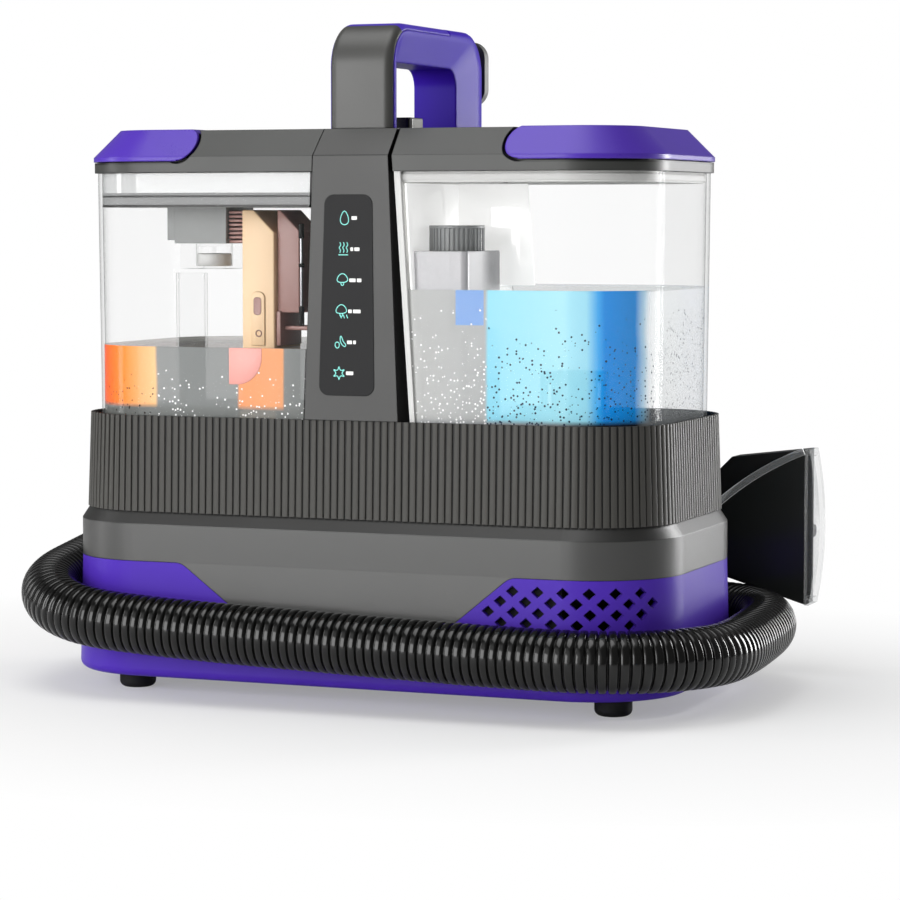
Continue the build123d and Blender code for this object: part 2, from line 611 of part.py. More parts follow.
with BuildPart() as steam_boiler:
    drum("y", BOILER_SPOT, BOILER_RADIUS, BOILER_Y)
    fillet(steam_boiler.edges(), radius=6)
    drum("z", (BOILER_SPOT[0], 0), TUBE_RADIUS + 3, (BOILER_SPOT[1], BOILER_SPOT[1] + BOILER_RADIUS + 6))
steam_boiler.part.label = "steam_boiler"

with BuildPart() as boiler_brackets:
    for y in BOILER_BRACKETS_Y:
        span = (y - BRACKET_THICK / 2, y + BRACKET_THICK / 2)
        reach = (BOILER_SPOT[0] - BOILER_RADIUS, BOILER_SPOT[0] + BOILER_RADIUS)
        block(reach, span, (PAN_TOP, BOILER_SPOT[1] - 6))
    drum("y", BOILER_SPOT, BOILER_RADIUS + FIT, BOILER_Y, Mode.SUBTRACT)
boiler_brackets.part.label = "boiler_brackets"

duct = pipe_path((PORT_X, BASE_DEPTH / 2, PORT_Z), (PORT_X, DUCT_SPOT[1], PORT_Z), (*DUCT_SPOT, DECK_LOW))
DUCT_END_Y = BASE_DEPTH / 2 - BASE_WALL - 3
with BuildPart() as suction_duct:
    duct(DUCT_RADIUS)
    duct(DUCT_RADIUS - DUCT_WALL, Mode.SUBTRACT)
    block((-FAR, FAR), (DUCT_END_Y, FAR), (0, FAR), Mode.SUBTRACT)
suction_duct.part.label = "suction_duct"

pump_in = (PUMP_MIDDLE[0], PUMP_Y[0] + 12)
pump_out = (PUMP_MIDDLE[0], PUMP_Y[1] - 12)
BOILER_NECK = BOILER_SPOT[1] + BOILER_RADIUS + 6
feed_line = pipe_path(
    (*VALVE_SPOT, DECK_LOW),
    (*VALVE_SPOT, FEED_LEVEL),
    (pump_in[0], VALVE_SPOT[1], FEED_LEVEL),
    (*pump_in, FEED_LEVEL),
    (*pump_in, PUMP_TOP + 6),
)
heat_line = pipe_path(
    (*pump_out, PUMP_TOP + 6),
    (*pump_out, HEAT_LEVEL),
    (pump_out[0], 0.0, HEAT_LEVEL),
    (BOILER_SPOT[0], 0.0, HEAT_LEVEL),
    (BOILER_SPOT[0], 0.0, BOILER_NECK),
)
with BuildPart() as water_tubes:
    feed_line(TUBE_RADIUS)
    heat_line(TUBE_RADIUS)
water_tubes.part.label = "water_tubes"

# ---------------------------------------------------------------- centre column
def column_form(inset, low, high):
    """The column's tapered form, set in by inset on its sides, front and back."""
    with BuildPart() as form:
        with BuildSketch(Plane.XZ):
            Polygon(
                (COLUMN_X - column_half(low) + inset, low),
                (COLUMN_X + column_half(low) - inset, low),
                (COLUMN_X + column_half(high) - inset, high),
                (COLUMN_X - column_half(high) + inset, high),
                align=None,
            )
        extrude(amount=FAR, both=True)
        with BuildSketch(Plane.XY.offset(low - 1)) as plan:
            width = 2 * COLUMN_HALF_LOW + 20
            with Locations((COLUMN_X, (COLUMN_FRONT + COLUMN_REAR) / 2)):
                Rectangle(width, COLUMN_REAR - COLUMN_FRONT - 2 * inset)
        extrude(plan.sketch, amount=high - low + 2, mode=Mode.INTERSECT)
        rear = form.edges().filter_by(lambda edge: edge.center().Y > COLUMN_REAR - inset - 1)
        upright = rear.filter_by(lambda edge: abs(edge.tangent_at(0.5).Z) > 0.9)
        fillet(upright, radius=COLUMN_REAR_ROUND - inset)
    return form.part


PANEL_FACE = COLUMN_FRONT + PANEL_THICK - PANEL_PROUD
panel_corners = (
    (PANEL_LEFT[0], PANEL_LOW),
    (PANEL_RIGHT[0], PANEL_LOW),
    (PANEL_RIGHT[1], PANEL_TOP),
    (PANEL_LEFT[1], PANEL_TOP),
)
with BuildPart() as control_panel:
    with BuildSketch(Plane.XZ.offset(-PANEL_FACE)) as panel_outline:
        Polygon(*panel_corners, align=None)
        fillet(panel_outline.vertices(), radius=PANEL_ROUND)
    extrude(amount=PANEL_THICK)
control_panel.part.label = "control_panel"

column_outer = column_form(0.0, DECK_TOP, FOLD)
column_inner = column_form(COLUMN_WALL, DECK_TOP, FOLD)
with BuildPart() as column_front:
    add(column_outer)
    add(column_inner, mode=Mode.SUBTRACT)
    block((-FAR, FAR), (0, FAR), (0, FAR * 2), Mode.SUBTRACT)
    add(control_panel.part, mode=Mode.SUBTRACT)
    rim_inside = BELT_INNER_INSET + FIT - BASE_DEPTH / 2
    block((-FAR, FAR), (-FAR, rim_inside), (0, BELT_TOP + FIT), Mode.SUBTRACT)
column_front.part.label = "column_front"

with BuildPart() as column_rear:
    add(column_outer)
    add(column_inner, mode=Mode.SUBTRACT)
    block((-FAR, FAR), (-FAR, 0), (0, FAR * 2), Mode.SUBTRACT)
    drum("y", (HOOK_X, LOW_HOOK_Z), HOOK_PIN_RADIUS + PIN_SEAT, (COLUMN_REAR - 5, COLUMN_REAR), Mode.SUBTRACT)
column_rear.part.label = "column_rear"

BOARD_FACE = COLUMN_FRONT + COLUMN_WALL
with BuildPart() as control_board:
    board_x = (PANEL_LEFT[1], PANEL_RIGHT[1])
    block(board_x, (BOARD_FACE, BOARD_FACE + BOARD_THICK), (PANEL_LOW, PANEL_TOP))
    for level in CHIP_LEVELS:
        chip = grown((COLUMN_X, COLUMN_X), CHIP_HALF + 1)
        chip_y = (BOARD_FACE + BOARD_THICK, BOARD_FACE + BOARD_THICK + CHIP_THICK)
        block(chip, chip_y, grown((PANEL_LOW + level,) * 2, CHIP_HALF))
control_board.part.label = "control_board"


def cap_form(inset):
    """The column's top, its front and back sloped like the lids beside it."""
    slope = MACHINE_TOP - FOLD
    with BuildPart() as form:
        with BuildSketch(Plane.YZ):
            Polygon(
                (COLUMN_FRONT + inset, FOLD),
                (COLUMN_REAR - inset, FOLD),
                (COLUMN_REAR - slope - inset * 0.4, MACHINE_TOP - inset),
                (COLUMN_FRONT + slope + inset * 0.4, MACHINE_TOP - inset),
                align=None,
            )
        extrude(amount=FAR, both=True)
        with BuildSketch(Plane.XZ) as taper:
            Polygon(
                (COLUMN_X - column_half(FOLD) + inset, FOLD),
                (COLUMN_X + column_half(FOLD) - inset, FOLD),
                (COLUMN_X + column_half(MACHINE_TOP) - inset, MACHINE_TOP),
                (COLUMN_X - column_half(MACHINE_TOP) + inset, MACHINE_TOP),
                align=None,
            )
        extrude(taper.sketch, amount=FAR, both=True, mode=Mode.INTERSECT)
    return form.part


cap_outer = cap_form(0.0)
cap_inner = cap_form(COLUMN_WALL)
CAP_UNDER = MACHINE_TOP - COLUMN_WALL
with BuildPart() as column_cap:
    add(cap_outer)
    add(cap_inner, mode=Mode.SUBTRACT)
    opening = grown(BUTTON_X, BUTTON_CLEARANCE), grown(BUTTON_Y, BUTTON_CLEARANCE)
    block(*opening, (CAP_UNDER - 1, MACHINE_TOP + 1), Mode.SUBTRACT)
column_cap.part.label = "column_cap"

with BuildPart() as power_button:
    block(BUTTON_X, BUTTON_Y, (BUTTON_LOW, BUTTON_TOP))
    fillet(power_button.edges().filter_by(Axis.Z), radius=3)
    fillet(power_button.faces().sort_by(Axis.Z)[-1].edges(), radius=1.2)
power_button.part.label = "power_button"

SPRING_RADIUS = 6.0
SPRING_WIRE = 0.8
SPRING_TURNS = 2
spring_top = BUTTON_LOW - BUTTON_TRAVEL - 0.2
switch_floor = SWITCH_LOW + SWITCH_WALL
with BuildPart() as power_switch:
    block(grown(BUTTON_X, SWITCH_WALL), grown(BUTTON_Y, SWITCH_WALL), (SWITCH_LOW, CAP_UNDER))
    well = grown(BUTTON_X, BUTTON_CLEARANCE), grown(BUTTON_Y, BUTTON_CLEARANCE)
    block(*well, (switch_floor, CAP_UNDER), Mode.SUBTRACT)
power_switch.part.label = "power_switch"

BUTTON_MIDDLE = (sum(BUTTON_X) / 2, sum(BUTTON_Y) / 2)


def coil_spring(spot, low, high, radius, wire, turns):
    """A compression spring as stacked rings joined by a slim strip, standing on its seat."""
    step = (high - low - 2 * wire) / turns
    for index in range(turns + 1):
        with Locations((*spot, low + wire + index * step)):
            Torus(radius, wire)
    block((spot[0] + radius - wire / 2, spot[0] + radius + wire / 2), grown((spot[1],) * 2, wire / 2),
          (low + wire, high - wire))


with BuildPart() as button_spring:
    coil_spring(BUTTON_MIDDLE, switch_floor, spring_top, SPRING_RADIUS, SPRING_WIRE, SPRING_TURNS)
button_spring.part.label = "button_spring"

# ---------------------------------------------------------------- handle
with BuildPart() as handle_loop:
    with BuildSketch(Plane.YZ.offset(HANDLE_X[0])) as side_view:
        height = HANDLE_TOP - FOLD
        with Locations((sum(HANDLE_Y) / 2, FOLD + height / 2)):
            Rectangle(HANDLE_Y[1] - HANDLE_Y[0], height)
        fillet(side_view.vertices().group_by(Axis.Y)[-1], radius=HANDLE_ROUND)
    extrude(amount=HANDLE_X[1] - HANDLE_X[0])
    outer_edges = handle_loop.edges().filter_by(Axis.X, reverse=True)
    rims = outer_edges.filter_by(lambda edge: edge.center().Z > FOLD + 1)
    fillet(rims, radius=HANDLE_EDGE)
    with BuildSketch(Plane.YZ.offset(HANDLE_X[0] - 1)) as finger_gap:
        gap_height = GRIP_GAP_TOP - FOLD + 20
        with Locations((sum(GRIP_GAP_Y) / 2, GRIP_GAP_TOP - gap_height / 2)):
            RectangleRounded(GRIP_GAP_Y[1] - GRIP_GAP_Y[0], gap_height, GRIP_GAP_ROUND)
    extrude(finger_gap.sketch, amount=HANDLE_X[1] - HANDLE_X[0] + 2, mode=Mode.SUBTRACT)
    add(cap_outer, mode=Mode.SUBTRACT)
    block((-FAR, FAR), (-FAR, 0), (0, MACHINE_TOP), Mode.SUBTRACT)

with BuildPart() as shell_space:
    with BuildSketch(Plane.YZ.offset(-FAR)):
        with BuildLine():
            FilletPolyline(
                (HANDLE_Y[0] - 5, FOLD),
                (HANDLE_Y[0] - 5, HANDLE_TOP + 5),
                (HANDLE_SHELL_END, HANDLE_TOP + 5),
                (HANDLE_SHELL_END, HANDLE_TOP - HANDLE_SHELL),
                (HANDLE_Y[0] + HANDLE_SHELL, HANDLE_TOP - HANDLE_SHELL),
                (HANDLE_Y[0] + HANDLE_SHELL, FOLD),
                radius=(0.0, 0.0, 0.0, HANDLE_ROUND - HANDLE_SHELL),
            )
            Line((HANDLE_Y[0] + HANDLE_SHELL, FOLD), (HANDLE_Y[0] - 5, FOLD))
        make_face()
    extrude(amount=2 * FAR)

with BuildPart() as handle_shell:
    add(handle_loop.part)
    add(shell_space.part, mode=Mode.INTERSECT)
handle_shell.part.label = "handle_shell"

HUB_Y = (HANDLE_Y[1] + FIT, HOOK_PLATE_Y)
with BuildPart() as handle_grip:
    add(handle_loop.part)
    add(shell_space.part, mode=Mode.SUBTRACT)
    hook_pin = (HANDLE_Y[1] - FIT, HOOK_PLATE_Y + HOOK_PLATE[2] - HOOK_SKIN - FIT)
    drum("y", (HOOK_X, HOOK_Z), HOOK_PIN_RADIUS, hook_pin)
handle_grip.part.label = "handle_grip"


def hook_plate(z, rise, hub_y):
    """A cord hook: a rounded plate on a round hub, with room for the wound cord between."""
    with BuildSketch(Plane.XZ.offset(-HOOK_PLATE_Y)) as plate:
        with Locations((HOOK_X, z + rise)):
            RectangleRounded(HOOK_PLATE[0], HOOK_PLATE[1], HOOK_ROUND)
    extrude(plate.sketch, amount=-HOOK_PLATE[2])
    drum("y", (HOOK_X, z), HOOK_HUB_RADIUS, hub_y)


with BuildPart() as upper_hook:
    hook_plate(HOOK_Z, HOOK_RISE, HUB_Y)
    hub_bore = (HUB_Y[0] - 1, HOOK_PLATE_Y + HOOK_PLATE[2] - HOOK_SKIN)
    drum("y", (HOOK_X, HOOK_Z), HOOK_PIN_RADIUS + RUN_CLEARANCE, hub_bore, Mode.SUBTRACT)
upper_hook.part.label = "upper_hook"

with BuildPart() as lower_hook:
    hook_plate(LOW_HOOK_Z, -HOOK_RISE, (COLUMN_REAR, HOOK_PLATE_Y))
    drum("y", (HOOK_X, LOW_HOOK_Z), HOOK_PIN_RADIUS, (COLUMN_REAR - 5, COLUMN_REAR))
lower_hook.part.label = "lower_hook"

# ---------------------------------------------------------------- tanks
STANDPIPE_SPOT = (-130.0, -38.0)
STANDPIPE_RADIUS = 10.0
STANDPIPE_DROP = 63.1
STANDPIPE_TOP = TANK_TOP - STANDPIPE_DROP
INLET_X = (-94.0, -73.0)
INLET_Y = (-60.0, -20.0)
DUCT_DROP = 23.1
DUCT_FOOT = 16.0
INLET_TOP = TANK_TOP - DUCT_DROP
INLET_LOW = TANK_INSIDE + DUCT_FOOT
INLET_SLOPE = 16.0
INLET_WALL = 2.0
SLOT_DEPTHS = (69.0, 55.0)
INLET_SLOT = ((-86.5, -80.5), tuple(INLET_TOP - depth for depth in SLOT_DEPTHS))
OUTLET_DEPTHS = (26.0, 6.0)
BAFFLE_X = (-72.5, -56.0)
BAFFLE_DEPTHS = (87.1, 27.1)
BAFFLE_Z = tuple(TANK_TOP - depth for depth in BAFFLE_DEPTHS)
CATCH_RADIUS = 3.0
CATCH_REACH = 1.5
CATCH_TURN = radians(48.0)
CATCH_DROP = 5.1
CATCH_Z = TANK_TOP - CATCH_DROP


def tank_shell(side):
    """The outer form and the hollow of a tank."""
    outer = tank_form(side, 0.0, DECK_TOP, TANK_TOP)
    hollow = tank_form(side, TANK_WALL, DECK_TOP + TANK_FLOOR, TANK_TOP + 1)
    return outer, hollow


dirty_outer, dirty_hollow = tank_shell(LEFT)
with BuildPart() as dirty_tank:
    add(dirty_outer)
    add(dirty_hollow, mode=Mode.SUBTRACT)
    drum("z", DUCT_SPOT, DUCT_RADIUS - DUCT_WALL, (DECK_TOP - 1, TANK_INSIDE + 1), Mode.SUBTRACT)
dirty_tank.part.label = "dirty_tank"

with BuildPart() as standpipe:
    drum("z", STANDPIPE_SPOT, STANDPIPE_RADIUS, (TANK_INSIDE, STANDPIPE_TOP))
    drum("z", STANDPIPE_SPOT, STANDPIPE_RADIUS + 4, (TANK_INSIDE, TANK_INSIDE + 3))
    drum("z", STANDPIPE_SPOT, STANDPIPE_RADIUS - 1.5, (TANK_INSIDE, STANDPIPE_TOP), Mode.SUBTRACT)
standpipe.part.label = "standpipe"

with BuildPart() as inlet_duct:
    foot = (DUCT_SPOT[0] - DUCT_RADIUS + 1, DUCT_SPOT[0] + DUCT_RADIUS - 1)
    block(foot, INLET_Y, (TANK_INSIDE, INLET_LOW))
    block(INLET_X, INLET_Y, (TANK_INSIDE, INLET_TOP))
    with BuildSketch(Plane.XZ) as corner:
        Polygon(
            (INLET_X[0] + 3, INLET_TOP),
            (INLET_X[1], INLET_TOP - INLET_SLOPE),
            (INLET_X[1] + 5, INLET_TOP + 5),
            align=None,
        )
    extrude(corner.sketch, amount=FAR, both=True, mode=Mode.SUBTRACT)
    inner = grown(INLET_X, -INLET_WALL), grown(INLET_Y, -INLET_WALL)
    block(*inner, (TANK_INSIDE - 1, INLET_TOP - INLET_SLOPE - INLET_WALL), Mode.SUBTRACT)
    drum("z", DUCT_SPOT, DUCT_RADIUS - DUCT_WALL, (TANK_INSIDE - 1, INLET_LOW - 2), Mode.SUBTRACT)
    block(INLET_SLOT[0], (INLET_Y[0] - 1, INLET_Y[0] + 3), INLET_SLOT[1], Mode.SUBTRACT)
    outlet = tuple(INLET_TOP - INLET_SLOPE - depth for depth in OUTLET_DEPTHS)
    block((INLET_X[0] - 1, INLET_X[0] + 3), grown(INLET_Y, -8), outlet, Mode.SUBTRACT)
inlet_duct.part.label = "inlet_duct"

with BuildPart() as splash_baffle:
    block(BAFFLE_X, grown(INLET_Y, -4), BAFFLE_Z)
    with BuildSketch(Plane.XZ) as corner:
        Polygon(
            (BAFFLE_X[0] + 4, BAFFLE_Z[1]),
            (BAFFLE_X[1], BAFFLE_Z[1] - 14),
            (BAFFLE_X[1] + 5, BAFFLE_Z[1] + 5),
            align=None,
        )
    extrude(corner.sketch, amount=FAR, both=True, mode=Mode.SUBTRACT)
    dish_x = (BAFFLE_X[0] + 4, BAFFLE_X[1] + 1)
    block(dish_x, grown(INLET_Y, -8), (BAFFLE_Z[0] + 3, BAFFLE_Z[1] - 18), Mode.SUBTRACT)
splash_baffle.part.label = "splash_baffle"

clean_outer, clean_hollow = tank_shell(RIGHT)
with BuildPart() as clean_tank:
    add(clean_outer)
    add(clean_hollow, mode=Mode.SUBTRACT)
    drum("z", VALVE_SPOT, VALVE_RADIUS, (DECK_TOP - 1, TANK_INSIDE + 1), Mode.SUBTRACT)
    catch_x = TANK_WIDTH / 2 - TANK_CORNER + (TANK_CORNER - TANK_WALL / 2) * sin(CATCH_TURN)
    catch_y = TANK_CORNER - TANK_DEPTH / 2 - (TANK_CORNER - TANK_WALL / 2) * cos(CATCH_TURN)
    catch_out = (sin(CATCH_TURN), -cos(CATCH_TURN), 0)
    with BuildSketch(Plane(origin=(catch_x, catch_y, CATCH_Z), z_dir=catch_out)) as catch:
        Circle(CATCH_RADIUS)
    extrude(catch.sketch, amount=TANK_WALL / 2 + CATCH_REACH)
clean_tank.part.label = "clean_tank"

VALVE_BORE = 4.0
VALVE_TOP = TANK_INSIDE + 4
BRIDGE_HEIGHT = 25.0
BRIDGE_TOP = TANK_INSIDE + BRIDGE_HEIGHT
BRIDGE_WALL = 2.5
VALVE_TRAVEL = 3.0
with BuildPart() as tank_valve:
    drum("z", VALVE_SPOT, VALVE_RADIUS - FIT, (VALVE_LOW, TANK_INSIDE))
    drum("z", VALVE_SPOT, VALVE_RADIUS + 4, (TANK_INSIDE, VALVE_TOP))
    bridge_y = grown((VALVE_SPOT[1],) * 2, 4)
    block(grown((VALVE_SPOT[0],) * 2, VALVE_RADIUS + 3), bridge_y, (VALVE_TOP, BRIDGE_TOP))
    hole = grown((VALVE_SPOT[0],) * 2, VALVE_RADIUS + 0.5)
    block(hole, bridge_y, (VALVE_TOP, BRIDGE_TOP - BRIDGE_WALL), Mode.SUBTRACT)
    drum("z", VALVE_SPOT, VALVE_BORE + RUN_CLEARANCE, (VALVE_LOW, VALVE_TOP), Mode.SUBTRACT)
tank_valve.part.label = "tank_valve"

PLUNGER_HEAD = (VALVE_TOP, VALVE_TOP + 2.5)
with BuildPart() as valve_plunger:
    drum("z", VALVE_SPOT, VALVE_BORE, (VALVE_LOW - 1, PLUNGER_HEAD[0]))
    drum("z", VALVE_SPOT, VALVE_RADIUS - 2, PLUNGER_HEAD)
valve_plunger.part.label = "valve_plunger"

with BuildPart() as valve_spring:
    spring_low = PLUNGER_HEAD[1] + VALVE_TRAVEL + 0.2
    coil_spring(VALVE_SPOT, spring_low, BRIDGE_TOP - BRIDGE_WALL, 6.5, 0.9, 4)
valve_spring.part.label = "valve_spring"

STRAINER_RADIUS = 22.0
STRAINER_HEIGHT = 31.0
STRAINER_TOP = TANK_INSIDE + STRAINER_HEIGHT
with BuildPart() as tank_strainer:
    drum("z", VALVE_SPOT, STRAINER_RADIUS, (TANK_INSIDE, STRAINER_TOP))
    drum("z", VALVE_SPOT, STRAINER_RADIUS - 1.2, (TANK_INSIDE, STRAINER_TOP - 1.5), Mode.SUBTRACT)
    for index in range(8):
        slot = Plane(origin=(*VALVE_SPOT, 0)).rotated((0, 0, index * 45 + 22.5))
        with BuildSketch(slot.offset(TANK_INSIDE + 5)) as window:
            with Locations((STRAINER_RADIUS, 0)):
                Rectangle(6, 9)
        extrude(window.sketch, amount=STRAINER_TOP - TANK_INSIDE - 11, mode=Mode.SUBTRACT)
tank_strainer.part.label = "tank_strainer"

# The detergent bottle that stands in the clean tank, in three steps under a screw cap.
BOTTLE_RIGHT = 76.0
BOTTLE_INSET = 8.0
BOTTLE_DEPTH = 60.0
BOTTLE_HEIGHTS = (0.0, 60.0, 84.0, 108.0)
BOTTLE_FRONT = BOTTLE_INSET - TANK_DEPTH / 2
BOTTLE_Y = (BOTTLE_FRONT, BOTTLE_FRONT + BOTTLE_DEPTH)
BOTTLE_LEVELS = tuple(TANK_INSIDE + height for height in BOTTLE_HEIGHTS)
BOTTLE_TRIMS = (0.0, 8.0, 0.0)
BOTTLE_MARGIN = 1.0
BOTTLE_ROUND = 4.0
CAP_RADIUS = 17.0
CAP_HEIGHT = 15.5
CAP_TOP = BOTTLE_LEVELS[-1] + CAP_HEIGHT
with BuildPart() as detergent_bottle:
    for low, high, trim in zip(BOTTLE_LEVELS, BOTTLE_LEVELS[1:], BOTTLE_TRIMS):
        left = inboard_x(RIGHT, low, TANK_WALL + BOTTLE_MARGIN)
        right = BOTTLE_RIGHT - trim
        with BuildSketch(Plane.XY.offset(low)) as step:
            with Locations(((left + right) / 2, sum(BOTTLE_Y) / 2)):
                RectangleRounded(right - left, BOTTLE_Y[1] - BOTTLE_Y[0], BOTTLE_ROUND)
        extrude(step.sketch, amount=high - low)
detergent_bottle.part.label = "detergent_bottle"

bottle_left = inboard_x(RIGHT, BOTTLE_LEVELS[-2], TANK_WALL + BOTTLE_MARGIN)
BOTTLE_MIDDLE = ((bottle_left + BOTTLE_RIGHT) / 2, sum(BOTTLE_Y) / 2)
with BuildPart() as bottle_cap:
    drum("z", BOTTLE_MIDDLE, CAP_RADIUS, (BOTTLE_LEVELS[-1], CAP_TOP))
    fillet(bottle_cap.faces().sort_by(Axis.Z)[-1].edges(), radius=1.0)
bottle_cap.part.label = "bottle_cap"

# ---------------------------------------------------------------- lids, seals and latches
def make_lid(side, plug_low):
    """A tank lid: a sloped cover, a stepped seat and pin for the latch, a plug for the seal."""
    pivot = (side * LATCH_PIVOT_X, LATCH_PIVOT_Z)
    recess_end = LATCH_PIVOT_X - LATCH_END_RADIUS - LATCH_END_GAP
    cover = lid_form(side, 0.0, TANK_TOP, MACHINE_TOP)
    core = lid_form(side, LATCH_CORE_INSET, TANK_TOP, LATCH_CORE_TOP)
    hollow = lid_form(side, LID_WALL, TANK_TOP - 1, MACHINE_TOP - LID_WALL)
    low_hollow = lid_form(side, LATCH_CORE_INSET + LID_WALL, TANK_TOP - 1, LATCH_CORE_TOP - LID_WALL)
    outboard = beyond(side, LATCH_PIVOT_X, LATCH_LEDGE)
    far_end = beyond(side, recess_end - LID_WALL)
    near_end = beyond(-side, -(recess_end - LID_WALL))
    plug = tank_form(side, TANK_WALL + SEAL_DEPTH + SEAL_CLEARANCE, plug_low, TANK_TOP)
    plug_hollow = tank_form(side, TANK_WALL + SEAL_DEPTH + SEAL_CLEARANCE + PLUG_WALL, plug_low, TANK_TOP)
    with BuildPart() as cavity:
        add(hollow)
        add(far_end, mode=Mode.SUBTRACT)
    with BuildPart() as low_cavity:
        add(low_hollow)
        add(near_end, mode=Mode.SUBTRACT)
    with BuildPart() as flange:
        add(lid_form(side, 0.0, TANK_TOP, TANK_TOP + LID_WALL))
        add(lid_form(side, LID_FLANGE, TANK_TOP - 1, TANK_TOP + LID_WALL + 1), mode=Mode.SUBTRACT)
    with BuildPart() as lid:
        add(cover)
        add(outboard, mode=Mode.SUBTRACT)
        drum("y", pivot, LATCH_END_RADIUS + LATCH_END_GAP, (-FAR, FAR), Mode.SUBTRACT)
        add(core)
        for end in (-1, 1):
            reach = sorted((end * (LID_DEPTH / 2 - 20), end * LID_DEPTH))
            drum("y", pivot, LATCH_END_RADIUS + 0.5, reach, Mode.SUBTRACT)
        add(cavity.part, mode=Mode.SUBTRACT)
        add(low_cavity.part, mode=Mode.SUBTRACT)
        for end in (-1, 1):
            boss_y = sorted((end * PIN_BOSS_Y[0], end * PIN_BOSS_Y[1]))
            boss_x = grown((pivot[0],) * 2, PIN_BOSS_HALF)
            block(boss_x, boss_y, (LATCH_CORE_TOP - LID_WALL, pivot[1] + PIN_BOSS_HALF))
        drum("y", pivot, LATCH_PIN_RADIUS, (-LATCH_LUG_Y[1], LATCH_LUG_Y[1]))
        add(flange.part)
        add(plug)
        add(plug_hollow, mode=Mode.SUBTRACT)
    return lid.part


def make_seal(side, span):
    """The rubber band round a lid's plug, a light fit inside the tank's wall."""
    with BuildPart() as seal:
        add(tank_form(side, TANK_WALL + SEAL_CLEARANCE, *span))
        add(tank_form(side, TANK_WALL + SEAL_CLEARANCE + SEAL_DEPTH, *span), mode=Mode.SUBTRACT)
    return seal.part


def make_latch(side):
    """A latch: a thin cover over the lid's outer end, on two lugs round the hinge pin."""
    pivot = (side * LATCH_PIVOT_X, LATCH_PIVOT_Z)
    top = MACHINE_TOP + LATCH_PROUD
    outer = lid_form(side, -LATCH_PROUD, LATCH_LOW, top, FOLD)
    inner = lid_form(side, LATCH_WALL - LATCH_PROUD, LATCH_LOW - 1, top - LATCH_WALL, FOLD)
    with BuildPart() as reach:
        drum("y", pivot, LATCH_END_RADIUS, (-FAR, FAR))
        add(beyond(side, LATCH_PIVOT_X, LATCH_LOW))
    with BuildPart() as lugs:
        for end in (-1, 1):
            lug_y = sorted((end * LATCH_LUG_Y[0], end * LATCH_LUG_Y[1]))
            drum("y", pivot, LATCH_LUG_RADIUS, lug_y)
            web = sorted((pivot[0], pivot[0] + side * LATCH_LUG_RADIUS * 2))
            block(web, lug_y, (pivot[1], top - LATCH_WALL))
    with BuildPart() as latch:
        add(outer)
        add(inner, mode=Mode.SUBTRACT)
        add(reach.part, mode=Mode.INTERSECT)
        add(lugs.part)
        bore = (-LATCH_LUG_Y[1], LATCH_LUG_Y[1])
        drum("y", pivot, LATCH_PIN_RADIUS + RUN_CLEARANCE, bore, Mode.SUBTRACT)
    return latch.part


with BuildPart() as dirty_lid:
    add(make_lid(LEFT, DIRTY_PLUG_LOW))
dirty_lid.part.label = "dirty_lid"

with BuildPart() as dirty_seal:
    add(make_seal(LEFT, DIRTY_SEAL))
dirty_seal.part.label = "dirty_seal"

with BuildPart() as dirty_latch:
    add(make_latch(LEFT))
dirty_latch.part.label = "dirty_latch"

with BuildPart() as clean_lid:
    add(make_lid(RIGHT, CLEAN_PLUG_LOW))
clean_lid.part.label = "clean_lid"

with BuildPart() as clean_seal:
    add(make_seal(RIGHT, CLEAN_SEAL))
clean_seal.part.label = "clean_seal"

with BuildPart() as clean_latch:
    add(make_latch(RIGHT))
clean_latch.part.label = "clean_latch"

# ---------------------------------------------------------------- inlet box and float under the dirty lid
BOX_X = (-131.0, -95.0)
BOX_DROP = 44.1
BOX_LOW = TANK_TOP - BOX_DROP
BOX_WALL = 2.0
BOX_TOP = LATCH_CORE_TOP - LID_WALL
FLOAT_SPOT = (sum(BOX_X) / 2, sum(INLET_Y) / 2)
FLOAT_RADIUS = 11.0
FLOAT_HEIGHT = 8.0
FLOAT_TRAVEL = 6.0
FLOAT_CLEARANCE = 0.5
CAGE_WALL = 1.6
CAGE_LOW = BOX_LOW - FLOAT_TRAVEL - FLOAT_HEIGHT - CAGE_WALL - 0.4
SIDE_DUCT_X = (BOX_X[0] - 6.0, BOX_X[0])
with BuildPart() as separator_box:
    block(BOX_X, INLET_Y, (BOX_LOW, BOX_TOP))
    block(grown(BOX_X, -BOX_WALL), grown(INLET_Y, -BOX_WALL), (BOX_LOW + BOX_WALL, BOX_TOP), Mode.SUBTRACT)
    drum("z", FLOAT_SPOT, FLOAT_RADIUS - 2, (BOX_LOW, BOX_LOW + BOX_WALL), Mode.SUBTRACT)
    block(SIDE_DUCT_X, grown(INLET_Y, -BOX_WALL), (BOX_LOW + BOX_WALL, BOX_TOP))
separator_box.part.label = "separator_box"

with BuildPart() as float_cage:
    block(grown(BOX_X, -2), grown(INLET_Y, -4), (CAGE_LOW, BOX_LOW))
    well_radius = FLOAT_RADIUS + FLOAT_CLEARANCE
    drum("z", FLOAT_SPOT, well_radius, (CAGE_LOW + CAGE_WALL, BOX_LOW), Mode.SUBTRACT)
    drum("z", FLOAT_SPOT, FLOAT_RADIUS - 4, (CAGE_LOW, CAGE_LOW + CAGE_WALL), Mode.SUBTRACT)
    side_window = (CAGE_LOW + CAGE_WALL + 2, BOX_LOW - 2)
    block(grown((FLOAT_SPOT[0],) * 2, 6), (-FAR, FAR), side_window, Mode.SUBTRACT)
float_cage.part.label = "float_cage"

with BuildPart() as tank_float:
    float_low = CAGE_LOW + CAGE_WALL
    drum("z", FLOAT_SPOT, FLOAT_RADIUS, (float_low, float_low + FLOAT_HEIGHT))
    fillet(tank_float.edges(), radius=1.0)
tank_float.part.label = "tank_float"

